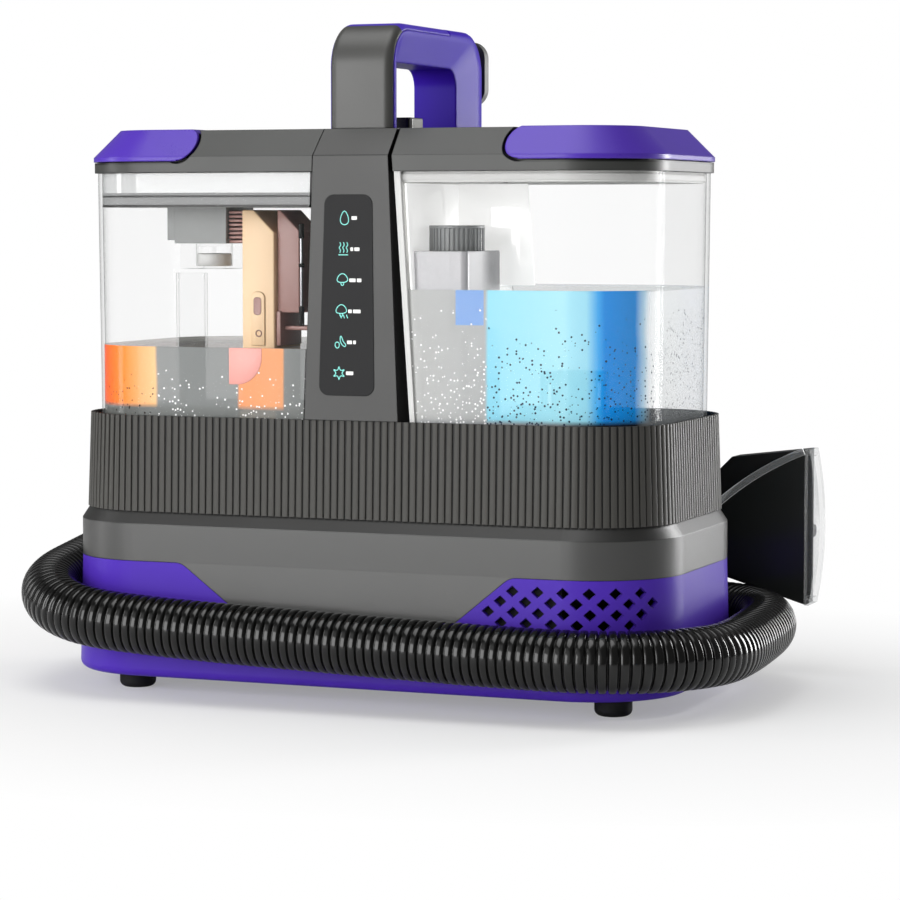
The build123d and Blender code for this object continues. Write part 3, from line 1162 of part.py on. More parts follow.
# ---------------------------------------------------------------- hose and port
port = pipe_path(
    (PORT_X, DUCT_END_Y, PORT_Z),
    (PORT_X, PORT_Y, PORT_Z),
    (PORT_SPIGOT_END, PORT_Y, PORT_Z),
)
with BuildPart() as hose_port:
    port(DUCT_RADIUS)
    port(DUCT_RADIUS - PORT_WALL, Mode.SUBTRACT)
hose_port.part.label = "hose_port"


def bend_radii(points, share=0.45):
    """A bend radius for each corner of a cord's route, from its shorter run and its turn."""
    radii = []
    for before, corner, after in zip(points, points[1:], points[2:]):
        first = Vector(*corner) - Vector(*before)
        last = Vector(*after) - Vector(*corner)
        half_turn = radians(first.get_angle(last)) / 2
        radii.append(share * min(first.length, last.length) / tan(half_turn))
    return radii


hose_radii = bend_radii(HOSE_POINTS)
with BuildPart() as hose:
    with BuildLine() as hose_line:
        FilletPolyline(*HOSE_POINTS, radius=hose_radii)
    start = Vector(*HOSE_POINTS[1]) - Vector(*HOSE_POINTS[0])
    with BuildSketch(Plane(origin=HOSE_POINTS[0], z_dir=start)):
        Circle(HOSE_RADIUS)
    sweep(path=hose_line.wire())
hose.part.label = "hose"

with BuildPart() as hose_cuffs:
    for end_x, side, y, z, neighbour in (
        (PORT_SPIGOT_END, 1, PORT_Y, PORT_Z, DUCT_RADIUS),
        (WAND_X[0], -1, WAND_Y, WAND_Z, WAND_RADIUS),
    ):
        drum("x", (y, z), CUFF_RADIUS, (end_x - CUFF_LAP, end_x + CUFF_LAP))
        over_hose = sorted((end_x, end_x + side * CUFF_LAP))
        over_end = sorted((end_x, end_x - side * CUFF_LAP))
        drum("x", (y, z), HOSE_RADIUS + HOSE_CLEARANCE, over_hose, Mode.SUBTRACT)
        drum("x", (y, z), neighbour + HOSE_CLEARANCE, over_end, Mode.SUBTRACT)
hose_cuffs.part.label = "hose_cuffs"



def hose_run(side, x):
    """The ends of the hose's straight run past a place along X, at the front or the back."""
    for first, last in zip(HOSE_POINTS, HOSE_POINTS[1:]):
        beside = first[1] * side > 0 and last[1] * side > 0
        if beside and min(first[0], last[0]) <= x <= max(first[0], last[0]):
            return Vector(*first), Vector(*last)


# The saddles' places along X, at the front and at the back.
SADDLE_FRONT_X = (142.0, 50.0, -50.0, -141.5)
SADDLE_REAR_X = (122.0, 12.0)
with BuildPart() as hose_saddles:
    for out, x in [(-1, x) for x in SADDLE_FRONT_X] + [(1, x) for x in SADDLE_REAR_X]:
        first, last = hose_run(out, x)
        middle = first + (last - first) * ((x - first.X) / (last.X - first.X))
        reach = sorted((out * (BASE_DEPTH / 2 - BASE_WALL), middle.Y - out * SADDLE_TIP))
        block(grown((x, x), SADDLE_WIDTH / 2), reach, (middle.Z - SADDLE_DROP, middle.Z))
        with BuildSketch(Plane(origin=middle, z_dir=last - first)) as bore:
            Circle(HOSE_RADIUS + SOFT_GAP)
        extrude(bore.sketch, amount=SADDLE_WIDTH, both=True, mode=Mode.SUBTRACT)
    add(skirt, mode=Mode.SUBTRACT)
hose_saddles.part.label = "hose_saddles"

# ---------------------------------------------------------------- wand in its cradle
TRIGGER_SIDE = TRIGGER_WIDTH / 2 + TRIGGER_GAP
with BuildPart() as wand_body:
    drum("x", (WAND_Y, WAND_Z), WAND_RADIUS, WAND_X)
    drum("x", (WAND_Y, WAND_Z), WAND_TIP_RADIUS, (WAND_X[1], WAND_TIP_X))
    for side in (-1, 1):
        ear_y = sorted((WAND_Y + side * TRIGGER_SIDE, WAND_Y + side * (TRIGGER_SIDE + EAR_THICK)))
        ear_x = grown((TRIGGER_PIVOT[0],) * 2, EAR_HALF)
        block(ear_x, ear_y, (WAND_Z, TRIGGER_PIVOT[1] + EAR_HALF - 1))
    drum("x", (WAND_Y, WAND_Z), WAND_TIP_RADIUS - WAND_WALL, (WAND_X[0], WAND_TIP_X), Mode.SUBTRACT)
    drum("y", TRIGGER_PIVOT, TRIGGER_PIN_RADIUS, grown((WAND_Y, WAND_Y), TRIGGER_SIDE))
wand_body.part.label = "wand_body"

with BuildPart() as wand_trigger:
    lever_y = grown((WAND_Y, WAND_Y), TRIGGER_WIDTH / 2)
    block((TRIGGER_PIVOT[0] - TRIGGER_REACH, TRIGGER_PIVOT[0]), lever_y, TRIGGER_LEVELS)
    fillet(wand_trigger.edges().filter_by(Axis.Y), radius=2)
    drum("y", TRIGGER_PIVOT, TRIGGER_LUG_RADIUS, lever_y)
    drum("y", TRIGGER_PIVOT, TRIGGER_PIN_RADIUS + RUN_CLEARANCE, lever_y, Mode.SUBTRACT)
wand_trigger.part.label = "wand_trigger"

CRADLE_MOUTH = 1.3
with BuildPart() as wand_cradle:
    for x in CRADLE_X:
        clip_x = grown((x, x), CRADLE_WIDTH / 2)
        drum("x", (WAND_Y, WAND_Z), WAND_RADIUS + FIT + CRADLE_WALL, clip_x)
        block(clip_x, (BASE_DEPTH / 2, WAND_Y), grown((WAND_Z, WAND_Z), CRADLE_WIDTH / 2))
        drum("x", (WAND_Y, WAND_Z), WAND_RADIUS + FIT, clip_x, Mode.SUBTRACT)
        mouth = grown((WAND_Z, WAND_Z), WAND_RADIUS / CRADLE_MOUTH)
        block(clip_x, (WAND_Y, WAND_Y + FAR / 2), mouth, Mode.SUBTRACT)
wand_cradle.part.label = "wand_cradle"

# ---------------------------------------------------------------- nozzle
NECK_WALL = 3.5
NECK_X = (WAND_TIP_X - 14.0, WAND_TIP_X + 4.0)
NECK_RADIUS = WAND_TIP_RADIUS + NECK_WALL
NOZZLE_MIDDLE = sum(NOZZLE_Y) / 2
BLEND_HALF = (SLOT_HALF + 3.0, 30.0)
SLOT_EDGE = 3.5
SPRAY_X = (196.0, NOZZLE_MOUTH_X)
SPRAY_RADIUS = 4.0


def nozzle_sheet(y, edge):
    """The nozzle's fan outline between two depths, set in by edge."""
    with BuildPart() as sheet:
        with BuildSketch(Plane.XZ.offset(-y[1])) as fan:
            Polygon(*NOZZLE_OUTLINE, NOZZLE_NECK_END, align=None)
            if edge:
                offset(amount=-edge, kind=Kind.INTERSECTION)
        extrude(fan.sketch, amount=y[1] - y[0])
    return sheet.part


def neck_blend(radius, half, start_x):
    """A loft from the round neck to the flat slot."""
    with BuildPart() as blend:
        with BuildSketch(Plane.YZ.offset(start_x)):
            with Locations((WAND_Y, WAND_Z)):
                Circle(radius)
        with BuildSketch(Plane.YZ.offset(SLOT_BACK_X)):
            with Locations((NOZZLE_MIDDLE, WAND_Z)):
                RectangleRounded(2 * half[0], 2 * half[1], half[0] / 2)
        loft()
    return blend.part


with BuildPart() as nozzle_body:
    add(nozzle_sheet(NOZZLE_Y, 0.0))
    drum("x", (WAND_Y, WAND_Z), NECK_RADIUS, NECK_X)
    add(neck_blend(NECK_RADIUS, BLEND_HALF, NECK_X[1]))
    drum("x", (WAND_Y, WAND_Z), WAND_TIP_RADIUS + PIN_SEAT, (NECK_X[0], WAND_TIP_X), Mode.SUBTRACT)
    drum("x", (WAND_Y, WAND_Z), WAND_TIP_RADIUS - WAND_WALL, NECK_X, Mode.SUBTRACT)
    slot_half = (SLOT_HALF, BLEND_HALF[1] - SLOT_EDGE)
    add(neck_blend(WAND_TIP_RADIUS - WAND_WALL, slot_half, NECK_X[1]), mode=Mode.SUBTRACT)
    with BuildPart(mode=Mode.PRIVATE) as slot:
        add(nozzle_sheet(grown((NOZZLE_MIDDLE,) * 2, SLOT_HALF), SLOT_EDGE))
        block((NOZZLE_MOUTH_X - SLOT_EDGE - 1, NOZZLE_MOUTH_X + 1),
              grown((NOZZLE_MIDDLE,) * 2, SLOT_HALF), grown(NOZZLE_MOUTH_Z, -SLOT_EDGE - 1))
        block((0, SLOT_BACK_X), (0, FAR), (0, FAR), Mode.SUBTRACT)
    add(slot.part, mode=Mode.SUBTRACT)
    spray_y = NOZZLE_Y[1] + SPRAY_RADIUS
    block(SPRAY_X, (NOZZLE_Y[1], spray_y), grown((WAND_Z, WAND_Z), SPRAY_RADIUS))
    drum("x", (spray_y, WAND_Z), SPRAY_RADIUS, SPRAY_X)
    drum("x", (spray_y, WAND_Z), SPRAY_RADIUS / 4, (SPRAY_X[0] + 5, SPRAY_X[1]), Mode.SUBTRACT)
nozzle_body.part.label = "nozzle_body"

WINDOW_TOP_ARC = ((170.0, 106.0), (196.0, 133.0), (NOZZLE_MOUTH_X, 146.0))
with BuildPart() as nozzle_window:
    with BuildSketch(Plane.XZ.offset(-NOZZLE_Y[0])):
        with BuildLine():
            ThreePointArc(*WINDOW_TOP_ARC)
            Polyline(
                WINDOW_TOP_ARC[-1],
                (NOZZLE_MOUTH_X, NOZZLE_MOUTH_Z[0] + 1),
                (NOZZLE_OUTLINE[1][0] - 2, NOZZLE_OUTLINE[1][1] + 3),
                WINDOW_TOP_ARC[0],
            )
        make_face()
    extrude(amount=WINDOW_THICK)
    add(nozzle_body.part, mode=Mode.SUBTRACT)
nozzle_window.part.label = "nozzle_window"

LIP_EDGE_X = NOZZLE_LIP_X - 5.0
with BuildPart() as nozzle_lip:
    with BuildSketch(Plane.XZ.offset(-NOZZLE_Y[1])):
        with BuildLine():
            middle_z = sum(NOZZLE_MOUTH_Z) / 2
            ThreePointArc(
                (LIP_EDGE_X, NOZZLE_MOUTH_Z[0]),
                (NOZZLE_LIP_X, middle_z),
                (LIP_EDGE_X, NOZZLE_MOUTH_Z[1]),
            )
            Polyline(
                (LIP_EDGE_X, NOZZLE_MOUTH_Z[1]),
                (NOZZLE_MOUTH_X, NOZZLE_MOUTH_Z[1]),
                (NOZZLE_MOUTH_X, NOZZLE_MOUTH_Z[0]),
                (LIP_EDGE_X, NOZZLE_MOUTH_Z[0]),
            )
        make_face()
    extrude(amount=NOZZLE_Y[1] - NOZZLE_Y[0] + WINDOW_THICK)
    lip_hole = grown((NOZZLE_MIDDLE,) * 2, SLOT_HALF)
    block((NOZZLE_MOUTH_X, NOZZLE_LIP_X), lip_hole, grown(NOZZLE_MOUTH_Z, -SLOT_EDGE - 1), Mode.SUBTRACT)
nozzle_lip.part.label = "nozzle_lip"

# ---------------------------------------------------------------- into the part's own frame
PIECES = (
    base_pan, base_screws, feet, vent_filter, lower_housing, fluted_belt, tank_deck, power_inlet,
    motor_mount, fan_housing, suction_motor, motor_shaft, impeller, water_pump, steam_boiler,
    boiler_brackets, suction_duct, water_tubes, control_panel, column_front, column_rear,
    control_board, column_cap, power_button, power_switch, button_spring, handle_shell,
    handle_grip, upper_hook, lower_hook, dirty_tank, standpipe, inlet_duct,
    splash_baffle, clean_tank, tank_valve, valve_plunger, valve_spring, tank_strainer,
    detergent_bottle, bottle_cap, dirty_lid, dirty_seal, dirty_latch,
    clean_lid, clean_seal, clean_latch, separator_box,
    float_cage, tank_float, hose_port, hose, hose_cuffs, hose_saddles, wand_body,
    wand_trigger, wand_cradle, nozzle_body, nozzle_window, nozzle_lip,
)
HOSE_PIECES = (hose, hose_cuffs)
boxes = [piece.part.bounding_box() for piece in PIECES if piece not in HOSE_PIECES]
middle_x = (min(box.min.X for box in boxes) + max(box.max.X for box in boxes)) / 2
middle_y = (min(box.min.Y for box in boxes) + max(box.max.Y for box in boxes)) / 2
for piece in PIECES:
    placed = piece.part.moved(Location((-middle_x, -middle_y, 0)))
    placed.label = piece.part.label
    export_step(placed, f"parts/{piece.part.label}.step")
    print(piece.part.label, len(piece.part.solids()), round(piece.part.volume))

route = hose_line.wire().length
print("middle", round(middle_x, 3), round(middle_y, 3))
print("hose radii", [round(radius, 1) for radius in hose_radii])
print("hose length", round(route, 1), "volume", round(hose.part.volume), round(pi * HOSE_RADIUS**2 * route))
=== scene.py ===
"""A portable carpet cleaner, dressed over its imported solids.

The solids give every size and place. This script adds the camera and the light, the
corrugated hose, the fluted belt, the dished grip, the water and the small moulded details,
and gives each piece its own finish. Places are in millimetres from the middle of the base.
"""

import logging
import math
from collections.abc import Callable, Sequence
from dataclasses import dataclass, field
from enum import Enum

import bmesh
import bpy
from mathutils import Matrix, Vector


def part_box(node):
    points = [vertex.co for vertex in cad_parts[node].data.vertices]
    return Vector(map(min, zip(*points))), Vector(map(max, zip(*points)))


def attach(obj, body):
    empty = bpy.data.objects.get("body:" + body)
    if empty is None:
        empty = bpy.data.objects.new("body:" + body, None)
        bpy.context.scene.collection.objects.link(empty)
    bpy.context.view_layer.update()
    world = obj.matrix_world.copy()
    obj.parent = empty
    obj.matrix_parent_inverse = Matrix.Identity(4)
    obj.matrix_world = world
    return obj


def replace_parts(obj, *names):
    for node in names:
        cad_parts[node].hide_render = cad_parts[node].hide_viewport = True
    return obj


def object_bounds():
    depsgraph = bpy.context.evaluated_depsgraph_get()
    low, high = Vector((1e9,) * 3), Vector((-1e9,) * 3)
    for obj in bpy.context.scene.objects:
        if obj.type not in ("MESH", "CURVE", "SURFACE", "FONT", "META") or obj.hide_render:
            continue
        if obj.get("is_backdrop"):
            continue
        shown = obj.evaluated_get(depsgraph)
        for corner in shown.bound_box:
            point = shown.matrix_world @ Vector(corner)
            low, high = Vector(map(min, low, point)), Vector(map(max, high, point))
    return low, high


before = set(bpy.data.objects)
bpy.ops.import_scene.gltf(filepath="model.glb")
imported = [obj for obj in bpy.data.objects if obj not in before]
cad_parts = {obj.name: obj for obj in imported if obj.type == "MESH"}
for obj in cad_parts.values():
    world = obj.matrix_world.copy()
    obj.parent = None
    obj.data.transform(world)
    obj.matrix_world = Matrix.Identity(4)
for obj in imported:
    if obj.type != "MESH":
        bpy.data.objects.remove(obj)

LOG = logging.getLogger("carpet_cleaner")
MM = 0.001
PER_METRE = 1000.0
CAD_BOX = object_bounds()
PAN_LOW, PAN_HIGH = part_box("base_pan")
BASE_MIDDLE = Vector(((PAN_LOW.x + PAN_HIGH.x) / 2, (PAN_LOW.y + PAN_HIGH.y) / 2, 0.0))
X_AXIS, Y_AXIS, Z_AXIS = range(3)

Colour = tuple[float, float, float]
Point = tuple[float, float, float]
Span = tuple[float, float]
WHITE_LIGHT = (1.0, 1.0, 1.0, 1.0)


def place(x: float, y: float, z: float) -> Vector:
    """A point given in millimetres from the middle of the base, in the row frame."""
    return BASE_MIDDLE + Vector((x, y, z)) * MM


def paint(code: str) -> Colour:
    """Turn a screen colour code into the linear colour that shaders use.

    Args:
        code: Six hexadecimal digits.

    Returns:
        The colour's three linear parts.
    """
    parts = [int(code[at:at + 2], 16) / 255 for at in (0, 2, 4)]
    return tuple(p / 12.92 if p <= 0.04045 else ((p + 0.055) / 1.055) ** 2.4 for p in parts)


# ---------------------------------------------------------------- shaders
def operator(operation: str, swapped: bool = False) -> Callable[["Signal", object], "Signal"]:
    """A Python operator that adds a Math node.

    Args:
        operation: What the node does.
        swapped: Whether the other value comes first.

    Returns:
        The method that a signal gets.
    """
    def run(signal: "Signal", other: object) -> "Signal":
        """Add the node over a signal and another value."""
        first, second = (other, signal) if swapped else (signal, other)
        return signal.book.node("Math", {"operation": operation}, {0: first, 1: second})

    return run


class Signal:
    """A shader socket that takes part in Python sums; each sum adds its Math node."""

    __add__, __radd__ = operator("ADD"), operator("ADD", True)
    __sub__, __rsub__ = operator("SUBTRACT"), operator("SUBTRACT", True)
    __mul__, __rmul__ = operator("MULTIPLY"), operator("MULTIPLY", True)
    __truediv__, __pow__ = operator("DIVIDE"), operator("POWER")
    __gt__, __lt__ = operator("GREATER_THAN"), operator("LESS_THAN")

    def __init__(self, book: "NodeBook", socket: bpy.types.NodeSocket | None) -> None:
        """Wrap one output socket of a material's tree."""
        self.book = book
        self.socket = socket

    def __abs__(self) -> "Signal":
        """This without its sign."""
        return self.book.node("Math", {"operation": "ABSOLUTE"}, {0: self})

    def floored(self) -> "Signal":
        """This, or zero where it is less."""
        return operator("MAXIMUM")(self, 0.0)

    def clamped(self) -> "Signal":
        """This held between zero and one."""
        return self.book.node("Clamp", {}, {"Value": self})


class NodeBook:
    """The node tree of one material or world, with one method that makes every node."""

    crease_gain = 7.0

    def __init__(self, name: str, owner: bpy.types.World | None = None) -> None:
        """Start a material, or take up a world, with an empty tree."""
        self.material = owner or bpy.data.materials.new(name)
        self.material.use_nodes = True
        self.tree = self.material.node_tree
        self.tree.nodes.clear()

    def node(self, kind: str, settings: dict, inputs: dict, output: object = 0) -> Signal:
        """Make a node.

        Args:
            kind: The node's type, without its first word.
            settings: Its own settings, which are set first; "stops" fills a colour ramp.
            inputs: Values or signals for its sockets, by name or number.
            output: The output that is returned, by name or number.

        Returns:
            The chosen output.
        """
        made = self.tree.nodes.new("ShaderNode" + kind)
        for key, value in settings.items():
            if key == "stops":
                self._fill(made.color_ramp, value)
            else:
                setattr(made, key, value)
        for key, value in inputs.items():
            if isinstance(value, Signal):
                self.tree.links.new(value.socket, made.inputs[key])
            else:
                made.inputs[key].default_value = value
        return Signal(self, made.outputs[output] if made.outputs else None)

    @staticmethod
    def _fill(ramp: bpy.types.ColorRamp, stops: Sequence[tuple[float, tuple]]) -> None:
        """Give a colour ramp its stops."""
        while len(ramp.elements) < len(stops):
            ramp.elements.new(0.5)
        for element, (at, colour) in zip(ramp.elements, stops):
            element.position = at
            element.color = (*colour, 1.0)[:4]

    def spot(self) -> Signal:
        """The place on the piece, in metres."""
        return self.node("TexCoord", {}, {}, "Object")

    def where(self) -> tuple[Signal, Signal, Signal]:
        """The place on the piece, in millimetres from the middle of the base."""
        places = zip(self.parts(self.spot()), BASE_MIDDLE)
        return tuple((part - middle) * PER_METRE for part, middle in places)

    def parts(self, vector: Signal) -> tuple[Signal, Signal, Signal]:
        """The three parts of a vector."""
        first = self.node("SeparateXYZ", {}, {0: vector})
        return tuple(Signal(self, socket) for socket in first.socket.node.outputs)

    def noise(self, scale: float, detail: float = 2.0, vector: Signal | None = None) -> Signal:
        """Soft noise with a value round one half."""
        values = {"Vector": vector or self.spot(), "Scale": scale, "Detail": detail}
        return self.node("TexNoise", {}, values, "Fac")

    @staticmethod
    def swing(noise: Signal, spread: float, middle: float = 0.0) -> Signal:
        """A noise's swing about a middle value."""
        return (noise - 0.5) * spread + middle

    def blend(self, factor: object, low: object, high: object) -> Signal:
        """Two colours mixed by a factor."""
        ends = (value if isinstance(value, Signal) else (*value, 1.0) for value in (low, high))
        return self.node("Mix", {"data_type": "RGBA"}, dict(zip((0, 6, 7), (factor, *ends))), 2)

    def bump(self, height: Signal, strength: float, distance: float, under: Signal | None = None) -> Signal:
        """A bumped normal from a height."""
        inputs = {"Height": height, "Strength": strength, "Distance": distance}
        if under is not None:
            inputs["Normal"] = under
        return self.node("Bump", {}, inputs)

    def facing(self) -> tuple[Signal, Signal, Signal]:
        """The parts of the way that the surface faces on the resting object."""
        return self.parts(self.node("TexCoord", {}, {}, "Normal"))

    def dot(self, first: Signal, second: object) -> Signal:
        """The dot product of two vectors."""
        vectors = {0: first, 1: second}
        return self.node("VectorMath", {"operation": "DOT_PRODUCT"}, vectors, "Value")

    def creases(self, width: float) -> Signal:
        """One along the sharp edges of a solid, and zero away from them."""
        even = self.dot(self.node("NewGeometry", {}, {}, "Normal"), self.soft_edges(width))
        return ((1 - even) * self.crease_gain).clamped()

    def soft_edges(self, radius: float) -> Signal:
        """A normal that rounds the sharp edges of a solid."""
        return self.node("Bevel", {"samples": 6}, {"Radius": radius})

    def finish(self, **inputs: object) -> bpy.types.Material:
        """Close the tree with one principled shader, whose sockets are named with underscores."""
        sockets = {key.replace("_", " "): value for key, value in inputs.items()}
        shader = self.node("BsdfPrincipled", {}, sockets)
        self.node("OutputMaterial", {}, {"Surface": shader})
        return self.material


@dataclass(frozen=True)
class Moulded:
    """Moulded plastic with a fine spark-eroded grain, slight mottling and softened edges."""

    name: str
    colour: Colour
    roughness: float = 0.42
    grain: float = 0.12
    grain_scale: float = 1400.0
    mottle: float = 0.06
    edge: float = 0.6
    specular: float = 0.5
    coat: float = 0.0
    # How wide the dark lines at seams and the painted shade along sharp edges and creases are, in
    # millimetres.
    seam_and_crease_shade: float = 0.0
    coat_roughness: float = 0.08
    # The clouds of the mottling, how far they and the grain change the roughness, the grain's
    # height, and the share of its colour that the dark seams and the painted crease shade keep.
    clouds: Span = (18.0, 3.0)
    rough_shares: Span = (0.12, 0.08)
    grain_height: float = 0.0002
    seam_and_crease_shade_share: float = 0.16

    def tint(self, book: NodeBook, colour: Signal) -> Signal:
        """Change the colour by place; plain mouldings only darken along their sharp edges: dark lines at
        seams, and painted shade along the other edges and creases.

        Args:
            book: The material's nodes.
            colour: The mottled colour.

        Returns:
            The colour that the surface shows.
        """
        if self.seam_and_crease_shade:
            # Dark lines at seams, and painted shade along the solid's other sharp edges and creases.
            dark = tuple(part * self.seam_and_crease_shade_share for part in self.colour)
            return book.blend(book.creases(self.seam_and_crease_shade * MM), colour, dark)
        return colour

    def material(self) -> bpy.types.Material:
        """Make the material."""
        book = NodeBook(self.name)
        cloud = book.noise(*self.clouds)
        fine = book.noise(self.grain_scale)
        darker = tuple(part * (1 - self.mottle * 2) for part in self.colour)
        lighter = tuple(min(1.0, part * (1 + self.mottle)) for part in self.colour)
        by_cloud, by_grain = self.rough_shares
        rounded = book.soft_edges(self.edge * MM) if self.edge else None
        return book.finish(
            Base_Color=self.tint(book, book.blend(cloud, darker, lighter)),
            Roughness=book.swing(cloud, by_cloud) + book.swing(fine, by_grain, self.roughness),
            Normal=book.bump(fine, self.grain, self.grain_height, rounded),
            Specular_IOR_Level=self.specular,
            Coat_Weight=self.coat,
            Coat_Roughness=self.coat_roughness,
        )


@dataclass(frozen=True)
class Housing(Moulded):
    """Housing whose sloped shoulder, above a level, is near black."""

    level: float = 105.9
    upper: Colour = paint("242423")
    sharpness: float = 2.0

    def tint(self, book: NodeBook, colour: Signal) -> Signal:
        """Paint the shoulder, then the dark seams and the painted crease shade."""
        above = ((book.where()[Z_AXIS] - self.level) * self.sharpness).clamped()
        return book.blend(above, super().tint(book, colour), self.upper)


@dataclass(frozen=True)
class SideLightAndShade(Moulded):
    """Moulding whose faces to the left and right get another colour: painted light where it is paler,
    painted shade where it is darker.
    """

    # The side faces' painted colour: painted light when paler than the moulding, painted shade when darker.
    flank: Colour = paint("101010")
    sideways: float = 0.6

    def tint(self, book: NodeBook, colour: Signal) -> Signal:
        """Paint the side faces' painted light and shade."""
        across = abs(book.facing()[X_AXIS])
        return book.blend(across > self.sideways, super().tint(book, colour), self.flank)


@dataclass(frozen=True)
class Shell(Moulded):
    """Front shell whose part behind a line is moulded in another colour."""

    line: float = -60.0
    behind: Colour = paint("4222ba")
    sharpness: float = 3.0

    def tint(self, book: NodeBook, colour: Signal) -> Signal:
        """Paint the part behind the line."""
        past = ((book.where()[Y_AXIS] - self.line) * self.sharpness).clamped()
        return book.blend(past, super().tint(book, colour), self.behind)


@dataclass(frozen=True)
class LidTop(Moulded):
    """Lid moulding with a pale plug below it, and painted shade in the gap round the latch that lies in it.
    """

    pivot: Span = (112.5, 342.3)
    gap: float = 12.3
    plug_level: float = 325.05
    plug: Colour = paint("dededc")
    shade: Colour = paint("060606")
    sharpness: Span = (3.0, 4.0)

    def tint(self, book: NodeBook, colour: Signal) -> Signal:
        """Paint shade into the gap: a round end at the pivot that runs on outwards."""
        across, _, height = book.where()
        aside = (self.pivot[0] - abs(across)).floored()
        rise = height - self.pivot[1]
        reach = (aside * aside + rise * rise) ** 0.5
        # Painted shade in the gap round the latch: near black within a reach of the pivot.
        inside = ((self.gap - reach) * self.sharpness[0]).clamped()
        cover = book.blend(inside, super().tint(book, colour), self.shade)
        below = ((self.plug_level - height) * self.sharpness[1]).clamped()
        return book.blend(below, cover, self.plug)


@dataclass(frozen=True)
class Water:
    """Standing water: tints in upright bands, and specks that thicken towards the bottom."""

    name: str
    reach: Span
    # Each band: how far across it starts, its colour and its cover; and the same at the bed.
    bands: tuple[tuple[float, str, float], ...]
    bed: tuple[tuple[float, str, float], ...]
    bed_level: float
    speck_top: float
    pale_until: float
    pale_speck: str
    dark_speck: str
    # The top face's colour and cover: a painted reflection on the water's surface.
    top_reflection: str
    top_reflection_cover: float = 0.34
    density: float = 0.95
    cell: float = 520.0
    # A tint that the pieces in the water lend it: from and to across, its foot, and its colour.
    patch: tuple[float, float, float, str] | None = None
    floor: float = 170.0
    speck_cover: float = 0.96
    speck_size: Span = (0.12, 0.24)
    settling: float = 1.2
    bed_blur: float = 0.35
    inner_share: float = 0.92
    # The scale and reach of the bands' drift; the scale, strength and height of the ripples; and
    # the scale, spread and middle of the roughness.
    drift: Span = (22.0, 2.0)
    ripple: Point = (60.0, 0.25, 0.0008)
    polish: Point = (14.0, 0.06, 0.12)
    upward: float = 0.5
    specular: float = 0.12

    def band(self, book: NodeBook, along: Signal, bands: Sequence, output: str) -> Signal:
        """Look up the tint, or with the output Alpha the cover, at a share of the reach."""
        first, last = self.reach
        stops = [((at - first) / (last - first), (*paint(code), cover)) for at, code, cover in bands]
        return book.node("ValToRGB", {"stops": stops}, {"Fac": along}, output)

    def specks(self, book: NodeBook, height: Signal) -> Signal:
        """One inside a speck, and zero in the water round it."""
        cells = {"Scale": self.cell, "Vector": book.spot()}
        near = book.node("TexVoronoi", {}, cells, "Distance")
        chance, size, _ = book.parts(book.node("TexVoronoi", {}, cells, "Color"))
        settled = ((self.speck_top - height) / (self.speck_top - self.floor)).clamped() ** self.settling
        least, more = self.speck_size
        return (near < size * more + least) * (chance < settled * self.density)

    def material(self) -> bpy.types.Material:
        """Make the material."""
        book = NodeBook(self.name)
        across, _, height = book.where()
        wander = book.swing(book.noise(self.drift[0]), self.drift[1])
        along = ((across + wander - self.reach[0]) / (self.reach[1] - self.reach[0])).clamped()
        low = ((self.bed_level - height) * self.bed_blur).clamped()
        looks = ((self.bands, "Color"), (self.bed, "Color"), (self.bands, "Alpha"), (self.bed, "Alpha"))
        upper_tint, bed_tint, upper_cover, bed_cover = (self.band(book, along, *look) for look in looks)
        tint = book.blend(low, upper_tint, bed_tint)
        if self.patch:
            start, end, foot, code = self.patch
            inside = (across > start) * (across < end) * (height > foot)
            tint = book.blend(inside, tint, paint(code))
        speck = self.specks(book, height)
        grit = book.blend(across > self.pale_until, paint(self.pale_speck), paint(self.dark_speck))
        top = book.facing()[Z_AXIS] > self.upward
        # The top face is painted pale as a painted reflection.
        tint = book.blend(top, book.blend(speck, tint, grit), paint(self.top_reflection))
        cover = upper_cover + (bed_cover - upper_cover) * low
        cover = cover + (self.speck_cover - cover) * speck
        cover = cover + (self.top_reflection_cover - cover) * top
        inner_side = book.node("NewGeometry", {}, {}, "Backfacing")
        scale, *relief = self.ripple
        return book.finish(
            Base_Color=tint,
            Roughness=book.swing(book.noise(self.polish[0]), *self.polish[1:]),
            Alpha=(cover * (1 - inner_side * self.inner_share)).clamped(),
            Normal=book.bump(book.noise(scale), *relief),
            Specular_IOR_Level=self.specular,
        )


@dataclass(frozen=True)
class Printed:
    """Bright printed ink that glows a little behind the touch panel."""

    name: str
    colour: Colour
    glow: float = 0.35
    cloud_scale: float = 700.0
    darkest: float = 0.86
    # The spread and the middle of the roughness.
    polish: Span = (0.1, 0.4)

    def material(self) -> bpy.types.Material:
        """Make the material."""
        book = NodeBook(self.name)
        cloud = book.noise(self.cloud_scale)
        tint = book.blend(cloud, tuple(part * self.darkest for part in self.colour), self.colour)
        return book.finish(
            Base_Color=tint, Roughness=book.swing(cloud, *self.polish), Emission_Color=tint,
            Emission_Strength=self.glow,
        )


